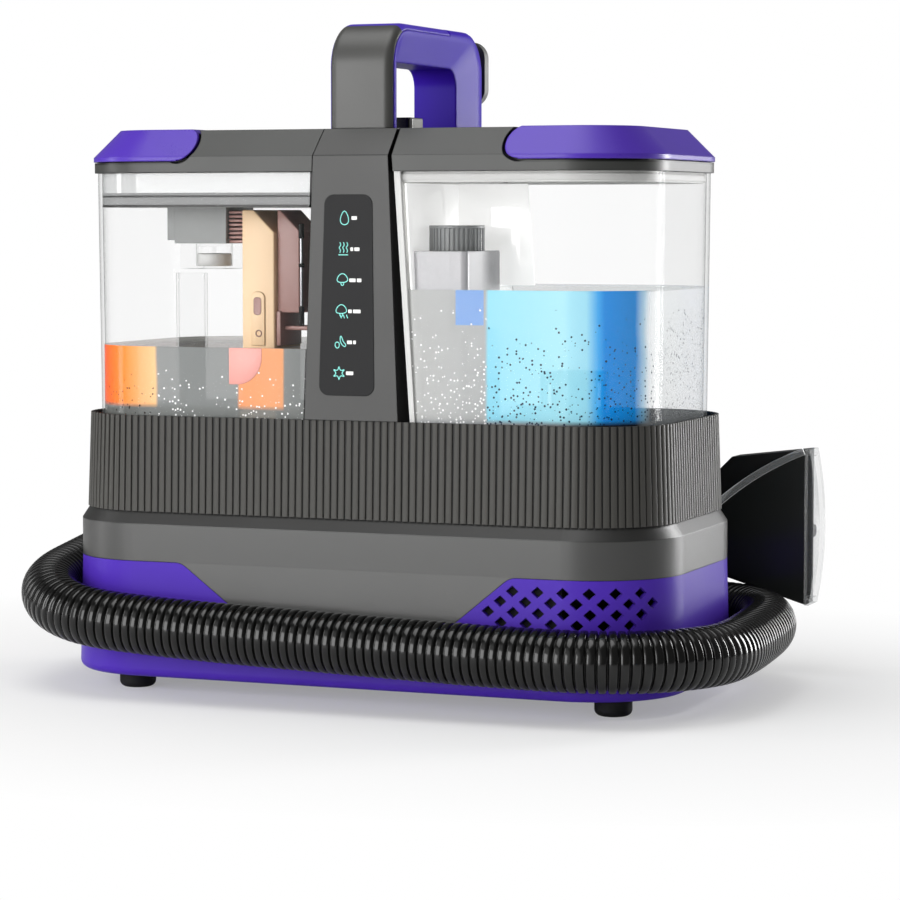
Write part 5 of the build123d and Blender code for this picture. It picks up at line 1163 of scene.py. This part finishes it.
# ---------------------------------------------------------------- the base
@dataclass
class Base:
    """The flared skirt, the grey housing above it, the fluted belt and what they hold."""

    half: Span = (200.0, 100.0)
    corner: float = 58.0
    shoulder_inset: float = 4.8
    belt_inset: float = 6.9
    shoulder_top: float = 113.9
    belt_top: float = 174.0
    rib_width: float = 3.9
    rib_pitch: float = 4.7
    rib_depth: float = 1.1
    rib_sunk: float = 0.8
    rib_edge: float = 0.4
    rib_foot: float = 0.3
    rib_tip: Point = (0.9, 0.8, 1.0)
    coats: dict[Tone, str] = field(default_factory=lambda: {
        Tone.PURPLE: "base_pan", Tone.HOUSING: "lower_housing", Tone.GROOVE: "fluted_belt tank_deck",
        Tone.RUBBER: "power_inlet feet motor_mount", Tone.FOAM: "vent_filter",
        Tone.STEEL: "base_screws motor_shaft steam_boiler", Tone.CASE: "suction_motor",
        Tone.BLACK: "fan_housing impeller water_pump boiler_brackets suction_duct",
        Tone.PALE: "water_tubes",
    })

    def build(self) -> None:
        """Dress the solids and make the ribs."""
        dress(self.coats)
        self.ribs()

    def outline(self, inset: float) -> list[tuple[Vector, float]]:
        """Places evenly along the belt's rounded outline, each with the turn it faces.

        Args:
            inset: How far the outline is set in, in millimetres.

        Returns:
            Pairs of a place on the outline and its outward turn about Z.
        """
        radius = self.corner - inset
        wide, deep = (size - inset - radius for size in self.half)
        quarter = radius * math.pi / 2
        whole = sum((2 * wide, quarter, 2 * deep, quarter) * 2)
        count = round(whole / self.rib_pitch)
        return [self._walk(whole * index / count, wide, deep, radius) for index in range(count)]

    @staticmethod
    def _walk(distance: float, wide: float, deep: float, radius: float) -> tuple[Vector, float]:
        """The place and turn at a distance along the outline, from its front left."""
        def outward(turn: float) -> Vector:
            """The arm from a corner's hub to its arc."""
            return Vector((math.cos(turn), math.sin(turn), 0.0)) * radius

        spot, facing = Vector((-wide, -deep - radius, 0.0)), -math.pi / 2
        quarter = radius * math.pi / 2
        for straight in (2 * wide, 2 * deep, 2 * wide, 2 * deep):
            along = Vector((-math.sin(facing), math.cos(facing), 0.0))
            if distance <= straight:
                return spot + along * distance, facing
            distance -= straight
            spot += along * straight
            hub = spot - outward(facing)
            if distance <= quarter:
                turned = facing + distance / radius
                return hub + outward(turned), turned
            distance -= quarter
            facing += math.pi / 2
            spot = hub + outward(facing)
        return spot, facing

    def ribs(self) -> None:
        """Model one rib of the belt and stand a copy at every pitch."""
        low, high = self.shoulder_top + self.rib_foot, self.belt_top
        lean = math.atan2(self.belt_inset - self.shoulder_inset, high - self.shoulder_top)
        rib = Workpiece.block(
            "belt_ribs",
            Vector((-self.rib_sunk, -self.rib_width / 2, 0.0)) * MM,
            Vector((self.rib_depth, self.rib_width / 2, (high - low))) * MM,
        )
        rib.bevelled(lambda middle, along: middle.x > 0.0 and abs(along.z) > ALIGNED, self.rib_edge, 2)
        rib.edit("FACE", lambda middle, normal: normal.z > ALIGNED,
                 lambda: bpy.ops.transform.resize(value=self.rib_tip))
        moves = []
        for spot, facing in self.outline(self.shoulder_inset):
            spot.z = low
            turn = Matrix.Rotation(facing, 4, "Z") @ Matrix.Rotation(-lean, 4, "Y")
            moves.append(Matrix.Translation(place(*spot)) @ turn)
        rib.copied(moves)
        rib.done("root", Tone.RIB, "graphite", 30.0)


# ---------------------------------------------------------------- the column and handle
@dataclass(frozen=True)
class Stroke:
    """A drawn line: points in millimetres across and up, swept as a fine raised bead."""

    points: Sequence[Span]
    closed: bool = False
    curved: bool = True

    def workpiece(self, middle: Vector, size: float, wire: float) -> Workpiece:
        """Sweep the line on a front face.

        Args:
            middle: Where the drawing's middle lies.
            size: What one unit of the points measures, in metres.
            wire: The bead's radius in metres.

        Returns:
            The bead as a mesh.
        """
        spots = [middle + Vector((across, 0.0, up)) * size for across, up in self.points]
        curve, spline = drawn("stroke", spots, 4, "NURBS" if self.curved else "POLY", not self.closed)
        curve.bevel_depth = wire
        curve.bevel_resolution = 1
        spline.use_cyclic_u = self.closed
        pick(put("stroke", curve))
        bpy.ops.object.convert(target="MESH")
        return Workpiece(bpy.context.active_object, "stroke")


def petals(count: int, inner: float, outer: float) -> list[Span]:
    """Points of a flower outline that goes in and out between two radii."""
    arms = [(outer if index % 2 else inner, math.pi * index / count) for index in range(2 * count)]
    return [(arm * math.cos(turn), arm * math.sin(turn)) for arm, turn in arms]


DROP = Stroke(((0, 4.6), (2.3, 0.8), (2.4, -2.6), (0, -3.8), (-2.4, -2.6), (-2.3, 0.8)), True)
STEAM = tuple(
    Stroke(((at, 3.6), (at + 0.9, 2.2), (at - 0.7, 0.8), (at + 0.7, -0.6), (at, -1.9)))
    for at in (-2.0, 0.0, 2.0)
)
PLATE = Stroke(((-2.8, -3.0), (2.8, -3.0)), curved=False)
CLOUD = Stroke(
    ((-3.2, -0.4), (-2.4, 2.2), (0.2, 3.9), (2.6, 2.2), (3.4, -0.2), (1.4, -1.2), (-1.6, -1.2)), True
)
STEM = Stroke(((-0.8, -1.0), (-0.9, -2.6), (0.9, -2.9), (0.8, -1.0)))
SPRAY = tuple(Stroke(((at, -1.8), (at + 0.7, -3.7)), curved=False) for at in (-0.6, 1.2, 3.0))
LEAVES = (
    Stroke(((-3.0, -2.2), (-2.6, 0.2), (-0.4, -0.2), (-0.4, -2.4), (-1.6, -3.4)), True),
    Stroke(((0.2, 3.6), (0.0, 0.8), (1.0, -1.4), (2.9, -2.6), (3.5, -1.2), (1.8, 0.2), (1.2, 2.4)), True),
)
# The pictograms from the top down, each with the lengths of the dashes beside it.
PICTOGRAMS = (
    ((DROP,), (3.6,)),
    ((*STEAM, PLATE), (1.8, 3.4)),
    ((CLOUD, STEM), (4.2, 3.0)),
    ((CLOUD, STEM, *SPRAY), (2.4, 5.0)),
    (LEAVES, (3.2, 1.8)),
    ((Stroke(petals(6, 1.2, 4.2), True),), (4.8,)),
)


@dataclass
class Column:
    """The centre column with its touch panel, its cap, the power button and the handle."""

    coats: dict[Tone, str] = field(default_factory=lambda: {
        Tone.COLUMN: "column_front column_rear column_cap", Tone.PANEL: "control_panel",
        Tone.BOARD: "control_board", Tone.BUTTON: "power_button", Tone.BLACK: "power_switch",
        Tone.STEEL: "button_spring", Tone.SHELL: "handle_shell", Tone.GRIP: "handle_grip",
        Tone.HOOK: "upper_hook lower_hook",
    })
    grip_x: Span = (-17.0, 25.0)
    # The grip's front, where the front shell ends on it, and its rear; its foot and its two tops.
    grip_y: Point = (-73.4, 20.0, 78.0)
    grip_z: Point = (338.8, 411.9, 416.0)
    grip_round: float = 27.0
    grip_edge: float = 5.0
    # How far the grip's rear part reaches into its front part, below the step.
    grip_lap: float = 20.0
    gap_y: Span = (-66.0, 45.0)
    gap_top: float = 392.0
    gap_round: float = 12.0
    dish: float = 6.5
    # How far the dish reaches past the gap: to the front, to the rear and up.
    dish_reach: Point = (4.5, 23.0, 18.0)
    dish_round: float = 15.0
    dish_slack: float = 0.3
    # How far the cutters reach past the grip: to the sides, and below its foot for gap and dish.
    past_side: float = 1.0
    past_foot: Span = (5.0, 6.0)
    # The pin that carries the hook: its place across and up, its radius, and how far it is let in.
    hook_pin: tuple[float, float, float, float] = (4.0, 381.0, 2.5, 0.6)
    panel_face: float = -95.3
    sign_top: Span = (1.4, 297.0)
    sign_low: Span = (-2.5, 203.1)
    sign_unit: float = 1.15
    sign_wire: float = 0.33
    # The dashes: how far they start from a pictogram, the gap between two, half their height, how
    # deep they are let in, how proud they stand, and how round their corners are.
    dash_start: float = 4.6
    dash_gap: float = 0.8
    dash_half: float = 1.1
    dash_sunk: float = 0.12
    dash_proud: float = 0.2
    dash_corner: float = 0.4

    def build(self) -> None:
        """Dress the column's solids and print the panel."""
        dress(self.coats)
        self.grip()
        self.signs()

    def grip(self) -> None:
        """The grip, whose flanks dish inwards to the finger gap from a narrow outer rim."""
        (left, right), (front, step, rear), (foot, low_top, top) = self.grip_x, self.grip_y, self.grip_z
        grip = Workpiece.slab("dished_grip", (left, front, foot), (right, step, low_top))
        self.turned(grip, front, low_top, self.grip_round - (top - low_top))
        back = Workpiece.slab("grip_back", (left, step - self.grip_lap, foot), (right, rear, top))
        back.shifted("EDGE", near(y=step - self.grip_lap, z=top, along=X_AXIS), 0.0, self.grip_lap)
        self.turned(back, rear, top, self.grip_round)
        behind = place(0.0, step + 1.0, foot + 1.0)
        back.bevelled(lambda middle, along: abs(along.x) < 1.0 - ALIGNED
                      and middle.z > behind.z and middle.y > behind.y, self.grip_edge, 4)
        grip.cut(back, "UNION")
        ahead, far = self.gap_y
        gap_foot, dish_foot = (foot - past for past in self.past_foot)
        gap = Workpiece.slab("finger_gap", (left - self.past_side, ahead, gap_foot),
                             (right + self.past_side, far, self.gap_top))
        for side in (ahead, far):
            self.turned(gap, side, self.gap_top, self.gap_round)
        grip.cut(gap)
        for flank, depth in ((right, self.dish), (left, -self.dish)):
            grip.cut(self.dish_cutter(flank, depth, dish_foot))
        low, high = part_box("handle_grip")
        pin_end = (high.y - BASE_MIDDLE.y) / MM
        across, up, radius, let_in = self.hook_pin
        pin = Workpiece.rod("hook_pin", place(across, (rear + pin_end) / 2, up), radius * MM,
                            (pin_end - rear + let_in) * MM, 24, ACROSS_TURN)
        grip.joined(pin)
        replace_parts(grip.done("root", Tone.GRIP, "purple"), "handle_grip")

    @staticmethod
    def turned(piece: Workpiece, y: float, z: float, radius: float) -> None:
        """Round the edge that runs across a block at a place in millimetres."""
        piece.bevelled(near(y=y, z=z, along=X_AXIS), radius, 12)

    def dish_cutter(self, flank: float, depth: float, foot: float) -> Workpiece:
        """What is taken from one flank: wide at its face, and as wide as the gap further in.

        Args:
            flank: Where the flank stands across.
            depth: How deep the dish is, less than zero on the left.
            foot: The cutter's lower level, which lies below the grip.

        Returns:
            The cutter, which reaches past the grip at its flank and its foot.
        """
        ahead, far = self.gap_y
        wide_y = (ahead - self.dish_reach[0], far + self.dish_reach[1])
        wide_top = self.gap_top + self.dish_reach[2]
        lows, highs = sorted((flank - depth, flank + math.copysign(self.past_side, depth)))
        cutter = Workpiece.slab("dish", (lows, wide_y[0], foot), (highs, wide_y[1], wide_top))
        for side in wide_y:
            self.turned(cutter, side, wide_top, self.dish_round)
        share_y = (far - ahead + 2 * self.dish_slack) / (wide_y[1] - wide_y[0])
        share_z = (self.gap_top + self.dish_slack - foot) / (wide_top - foot)
        hub_y = (ahead - self.dish_slack - share_y * wide_y[0]) / (1.0 - share_y)
        return cutter.edit(
            "VERT", near(x=flank - depth),
            lambda: bpy.ops.transform.resize(value=(1.0, share_y, share_z),
                                             center_override=place(0.0, hub_y, foot)),
        )

    def signs(self) -> None:
        """Draw the pictograms in teal, and short plain dashes beside them in white."""
        lines, dashes = [], []
        for row, (strokes, lengths) in enumerate(PICTOGRAMS):
            share = row / (len(PICTOGRAMS) - 1)
            across, height = (top + (low - top) * share for top, low in zip(self.sign_top, self.sign_low))
            middle = place(across, self.panel_face, height)
            size, wire = self.sign_unit * MM, self.sign_wire * MM
            lines += [stroke.workpiece(middle, size, wire) for stroke in strokes]
            start = across + self.dash_start
            for length in lengths:
                dashes.append(self.dash(start, height, length))
                start += length + self.dash_gap
        for name, pieces, tone in (("panel_signs", lines, Tone.TEAL), ("panel_dashes", dashes, Tone.WHITE)):
            pieces[0].piece.name = name
            pieces[0].joined(*pieces[1:]).done("root", tone, "black_gloss", 60.0)

    def dash(self, start: float, height: float, length: float) -> Workpiece:
        """One short dash with round corners, a hair proud of the panel."""
        low = (start, self.panel_face - self.dash_sunk, height - self.dash_half)
        high = (start + length, self.panel_face + self.dash_proud, height + self.dash_half)
        return Workpiece.slab("dash", low, high).bevelled(near(along=Y_AXIS), self.dash_corner, 3)


# ---------------------------------------------------------------- the tanks
FITTINGS = {slab.name: slab for slab in (
    Slab("amber_duct", (-84.0, -60.0, 169.6), (-62.0, -20.0, 302.0), 0.9, 3,
         ((near(x=-62.0, z=302.0, along=Y_AXIS), 14.0, 1),)),
    Slab("tongue", (-77.8, -61.2, 217.5), (-68.2, -59.0, 251.0), 0.4, 2,
         ((near(z=251.0, along=Y_AXIS), 4.0, 6),)),
    Slab("foot", (-86.0, -62.0, 169.6), (-60.0, -18.0, 176.0), 1.2, 3),
    Slab("duct_slot", (-75.6, -61.5, 236.5), (-70.4, -60.6, 247.7), cuts=((near(along=Y_AXIS), 2.2, 6),)),
    Slab("duct_folds", (-94.6, -57.0, 281.4), (-84.4, -24.0, 283.2), 0.6),
    Slab("brown_baffle", (-61.6, -56.0, 238.0), (-46.5, -24.0, 302.0), 0.8, 3,
         ((near(x=-46.5, z=302.0, along=Y_AXIS), 13.0, 1),)),
    Slab("bracket", (-61.6, -58.0, 217.4), (-58.6, -26.0, 239.0), 0.6),
    Slab("shelf", (-59.4, -52.0, 227.0), (-33.0, -30.0, 229.6), 0.6),
    Slab("sump_flap", (-79.6, -89.1, 194.4), (-57.2, -87.6, 217.0), 0.3, 2,
         ((near(x=-57.2, z=194.4, along=Y_AXIS), 17.0, 10),)),
    Slab("sump_guide", (-66.0, -88.3, 195.0), (-46.5, -86.4, 217.0), 0.3, 2,
         ((near(z=195.0, along=Y_AXIS), 2.4, 4),)),
)}


@dataclass
class Tanks:
    """Both tanks with their lids, latches, water and what stands in them."""

    coats: dict[Tone, str] = field(default_factory=lambda: {
        Tone.TANK: "dirty_tank standpipe float_cage", Tone.JUG: "clean_tank",
        Tone.GREY: "separator_box tank_strainer", Tone.PALE: "tank_float clean_seal",
        Tone.BLACK: "tank_valve", Tone.RUBBER: "valve_plunger", Tone.STEEL: "valve_spring",
        Tone.FROST: "detergent_bottle", Tone.LID: "dirty_lid clean_lid", Tone.SEAL: "dirty_seal",
        Tone.LATCH: "dirty_latch clean_latch",
    })
    half: Span = (188.0, 92.0)
    wall: float = 2.5
    corner: float = 50.0
    floor: float = 169.3
    spent_level: float = 217.0
    fresh_level: float = 254.0
    # The water's gap to the wall, how wide the strip along the wall is, and how high it is drawn.
    water_gap: float = 0.6
    water_edge: float = 1.6
    water_rise: float = 0.9
    # Where the inner face of each tank's column side stands, low and high in the tank.
    spent_side: Span = (-29.4, -24.0)
    fresh_side: Span = (45.2, 36.0)
    side_levels: Span = (169.0, 325.0)
    collar_levels: Span = (305.0, 324.6)
    collar_gap: float = 0.5
    collar_wall: float = 1.2
    # Each sealing bead: its foot and its height; and how thick and how proud of the collar all are.
    beads: tuple[Span, ...] = ((303.6, 1.5), (309.8, 1.1))
    bead_wall: float = 1.6
    bead_proud: float = 0.35
    slot_rim: float = 0.6
    slot_sunk: Point = (0.0, 0.2, 0.0)
    pin_spot: Point = (-72.2, -61.3, 225.0)
    pin_radius: float = 1.9
    pin_wire: float = 0.4
    folds: int = 8
    fold_pitch: float = 2.6
    # The level rod: its place across and deep, its middle height, its length and its radius, and
    # for each thicker end the height of its middle and its length.
    rod_spot: Span = (-32.4, -84.0)
    rod_run: Span = (263.0, 58.0)
    rod_radius: float = 0.9
    rod_ends: tuple[Span, ...] = ((289.0, 9.0), (268.0, 2.4), (237.0, 12.0))
    end_radius: float = 1.7
    cap_sides: int = 72
    cap_flute: float = 0.6
    cap_inset: float = 0.7
    rim_height: float = 1.8
    rim_edge: float = 0.5
    # The frosted guide: its levels, the wall's place, depths and thickness, and the leaf's corners.
    guide_levels: Span = (170.0, 318.0)
    guide_x: float = 46.4
    guide_y: Span = (-88.6, 84.0)
    guide_thick: float = 1.4
    leaf_low: Point = (46.0, -21.5, 255.5)
    leaf_reach: Span = (92.0, -19.8)
    leaf_flare: float = 5.0

    def build(self) -> None:
        """Dress the tanks' solids and make what they hold."""
        dress(self.coats)
        spent = self.water("spent_water", -1, self.spent_level, self.spent_side)
        spent.done("dirty_tank_body", Tone.SPENT, "tubing")
        fresh = self.water("fresh_water", 1, self.fresh_level, self.fresh_side)
        fresh.done("clean_tank_body", Tone.FRESH, "tubing")
        for make in (self.collar, self.duct, self.baffle, self.sump, self.cap, self.guide):
            make()

    def side_at(self, side: Span, level: float) -> float:
        """Where a tank's column side stands at a level."""
        low, high = self.side_levels
        return side[0] + (side[1] - side[0]) * (level - low) / (high - low)

    def prism(self, name: str, hand: int, low: float, high: float, side: Span, inset: float) -> Workpiece:
        """A block that fills one tank's plan between two levels.

        Args:
            name: The piece's name.
            hand: -1 for the left tank and 1 for the right one.
            low: The lower level.
            high: The upper level.
            side: Where the column side stands, low and high in the tank.
            inset: How far the block stays inside the tank's outer face.

        Returns:
            The block, with round outer corners and a leaning column side.
        """
        reach, deep = self.half[0] - inset, self.half[1] - inset
        near_low, near_high = self.side_at(side, low), self.side_at(side, high)
        lows, highs = sorted((hand * reach, near_low))
        made = Workpiece.slab(name, (lows, -deep, low), (highs, deep, high))
        made.shifted("VERT", near(x=near_low, z=high), near_high - near_low)
        return made.bevelled(near(x=hand * reach, along=Z_AXIS), self.corner - inset, 18)

    def water(self, name: str, hand: int, level: float, side: Span) -> Workpiece:
        """The water in a tank, its top drawn up a little along the walls."""
        made = self.prism(name, hand, self.floor, level, side, self.wall + self.water_gap)
        return made.sunk(near(z=level, along=Z_AXIS), self.water_edge, (0.0, 0.0, -self.water_rise))

    def collar(self) -> None:
        """The smoky collar under the left lid, with its two sealing beads."""
        inset = self.wall + self.collar_gap
        collar = self.prism("lid_collar", -1, *self.collar_levels, self.spent_side, inset)
        collar.walled(self.collar_wall).done("dirty_lid_body", Tone.SMOKE, "tubing")
        first, second = (
            self.prism("sealing_beads", -1, level, level + high, self.spent_side, inset - self.bead_proud)
            .walled(self.bead_wall) for level, high in self.beads
        )
        first.joined(second).done("dirty_lid_body", Tone.SHOULDER, "rubber")

    def duct(self) -> None:
        """The amber inlet duct, with its raised tongue, slot and pin hole, and the folds beside it."""
        duct = FITTINGS["amber_duct"].make()
        duct.joined(FITTINGS["tongue"].make(), FITTINGS["foot"].make())
        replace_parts(duct.done("dirty_tank_body", Tone.AMBER, "amber"), "inlet_duct")
        slot = FITTINGS["duct_slot"].make()
        slot.sunk(lambda middle, normal: normal.y < -ALIGNED, self.slot_rim, self.slot_sunk)
        pin = Workpiece.ring("duct_pin", place(*self.pin_spot), self.pin_radius * MM,
                             self.pin_wire * MM, ACROSS_TURN)
        slot.joined(pin).done("dirty_tank_body", Tone.BROWN, "brown")
        folds = FITTINGS["duct_folds"].make()
        folds.copied([Matrix.Translation((0.0, 0.0, self.fold_pitch * MM * index))
                      for index in range(self.folds)])
        folds.done("dirty_tank_body", Tone.BROWN, "brown")

    def baffle(self) -> None:
        """The brown splash baffle behind the duct, with its bracket and its shelf."""
        baffle = FITTINGS["brown_baffle"].make()
        baffle.joined(FITTINGS["bracket"].make(), FITTINGS["shelf"].make())
        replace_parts(baffle.done("dirty_tank_body", Tone.BROWN, "brown"), "splash_baffle")

    def sump(self) -> None:
        """The rose flap and its guide in the dirty water, and the thin level rod by the column."""
        FITTINGS["sump_flap"].make().done("dirty_tank_body", Tone.ROSE, "amber")
        FITTINGS["sump_guide"].make().done("dirty_tank_body", Tone.BROWN, "brown")
        rod = self.bar("level_rod", self.rod_run, self.rod_radius, 16)
        rod.rounded(0.2).done("dirty_tank_body", Tone.STEEL, "steel")
        first, *others = (
            self.bar("level_rod_ends", run, self.end_radius, 20).rounded(0.4) for run in self.rod_ends
        )
        first.joined(*others).done("dirty_tank_body", Tone.RUBBER, "rubber")

    def bar(self, name: str, run: Span, radius: float, sides: int) -> Workpiece:
        """A length of the level rod: the height of its middle, and how long it is."""
        middle, length = run
        return Workpiece.rod(name, place(*self.rod_spot, middle), radius * MM, length * MM, sides)

    def cap(self) -> None:
        """The bottle's screw cap, with a fluted wall and a thin rim."""
        low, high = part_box("bottle_cap")
        middle = (low + high) / 2
        radius, height = (high.x - low.x) / 2, high.z - low.z

        def every_second(spot: Vector, normal: Vector) -> bool:
            """Pick every second face of the wall."""
            turn = (math.atan2(normal.y, normal.x) / (2 * math.pi) + 1.0) * self.cap_sides
            return abs(normal.z) < 1.0 - ALIGNED and round(turn - 0.5) % 2 == 0

        flute = {"value": self.cap_flute * MM}
        cap = Workpiece.rod("fluted_cap", middle, radius - self.cap_inset * MM, height, self.cap_sides)
        cap.edit("FACE", every_second,
                 lambda: bpy.ops.mesh.extrude_faces_move(TRANSFORM_OT_shrink_fatten=flute))
        up = Vector((0.0, 0.0, height / 2 - self.rim_height / 2 * MM))
        rim = Workpiece.rod("rim", middle + up, radius, self.rim_height * MM, self.cap_sides)
        cap.joined(rim.rounded(self.rim_edge, 3))
        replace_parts(cap.done("clean_tank_body", Tone.CAP, "grey_plastic", 25.0), "bottle_cap")

    def guide(self) -> None:
        """The frosted guide in the fresh tank: a wall by the column, and a leaf behind the bottle."""
        low, high = self.guide_levels
        wall = Workpiece.slab("filling_guide", (self.guide_x, self.guide_y[0], low),
                              (self.guide_x + self.guide_thick, self.guide_y[1], high))
        lean = self.side_at(self.fresh_side, high) - self.side_at(self.fresh_side, low)
        wall.shifted("VERT", near(z=high), lean).rounded(0.4)
        right, back = self.leaf_reach
        leaf = Workpiece.slab("leaf", self.leaf_low, (right, back, high))
        leaf.shifted("VERT", near(x=right, z=self.leaf_low[2]), self.leaf_flare).rounded(0.6)
        wall.joined(leaf).done("clean_tank_body", Tone.MIST, "clear")


# ---------------------------------------------------------------- the wand and nozzle
@dataclass
class Wand:
    """The stowed wand with its trigger and its flat nozzle."""

    coats: dict[Tone, str] = field(default_factory=lambda: {
        Tone.BLACK: "wand_body wand_cradle", Tone.SHOULDER: "wand_trigger", Tone.NOZZLE: "nozzle_body",
        Tone.WINDOW: "nozzle_window", Tone.LENS: "nozzle_lip",
    })
    # The strip's foot and the hub it curves about, across and up; its depth, its half sizes, its
    # turn in degrees, and how it is rounded.
    strip_foot: Span = (171.5, 111.0)
    strip_hub: Span = (302.3, -38.0)
    strip_depth: float = 127.2
    strip_half: Point = (2.2, 1.1, 0.05)
    strip_turn: float = -19.4
    strip_steps: int = 20
    strip_edge: float = 1.0

    def build(self) -> None:
        """Dress the wand's solids and add the strip."""
        dress(self.coats)
        self.strip()

    def strip(self) -> None:
        """The clear raised strip that curves over the nozzle's window up to its mouth."""
        start, hub = self.strip_foot, self.strip_hub
        middle = place(start[0], self.strip_depth, start[1])
        half = Vector(self.strip_half) * MM
        strip = Workpiece.block("nozzle_strip", middle - half, middle + half)
        lean = math.atan2(start[1] - hub[1], start[0] - hub[0])
        turn = Matrix.Translation(middle) @ Matrix.Rotation(-lean, 4, "Y") @ Matrix.Translation(-middle)
        strip.piece.data.transform(turn)
        ahead = Vector((math.sin(lean), 0.0, -math.cos(lean)))
        centre = place(hub[0], self.strip_depth, hub[1])
        strip.edit("FACE", lambda spot, normal: normal.dot(ahead) > ALIGNED,
                   lambda: bpy.ops.mesh.spin(steps=self.strip_steps, angle=math.radians(self.strip_turn),
                                             center=centre, axis=(0.0, 1.0, 0.0)))
        strip.edit("FACE", near(), lambda: bpy.ops.mesh.normals_make_consistent(inside=False))
        strip.rounded(self.strip_edge, 5).done("root", Tone.STRIP, "clear")


def main() -> None:
    """Build the sub-assemblies in order and report each."""
    logging.basicConfig(level=logging.INFO, format="%(name)s: %(message)s")
    scene = bpy.context.scene
    scene.view_settings.view_transform = "Standard"
    for part in (Studio(), Hose(), Base(), Column(), Tanks(), Wand()):
        part.build()
        LOG.info("%s is ready", type(part).__name__)
    low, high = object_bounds()
    sizes = {
        "cad_box": [list(corner) for corner in CAD_BOX],
        "visual_box": [list(corner) for corner in (low, high)],
    }


if __name__ == "__main__":
    main()
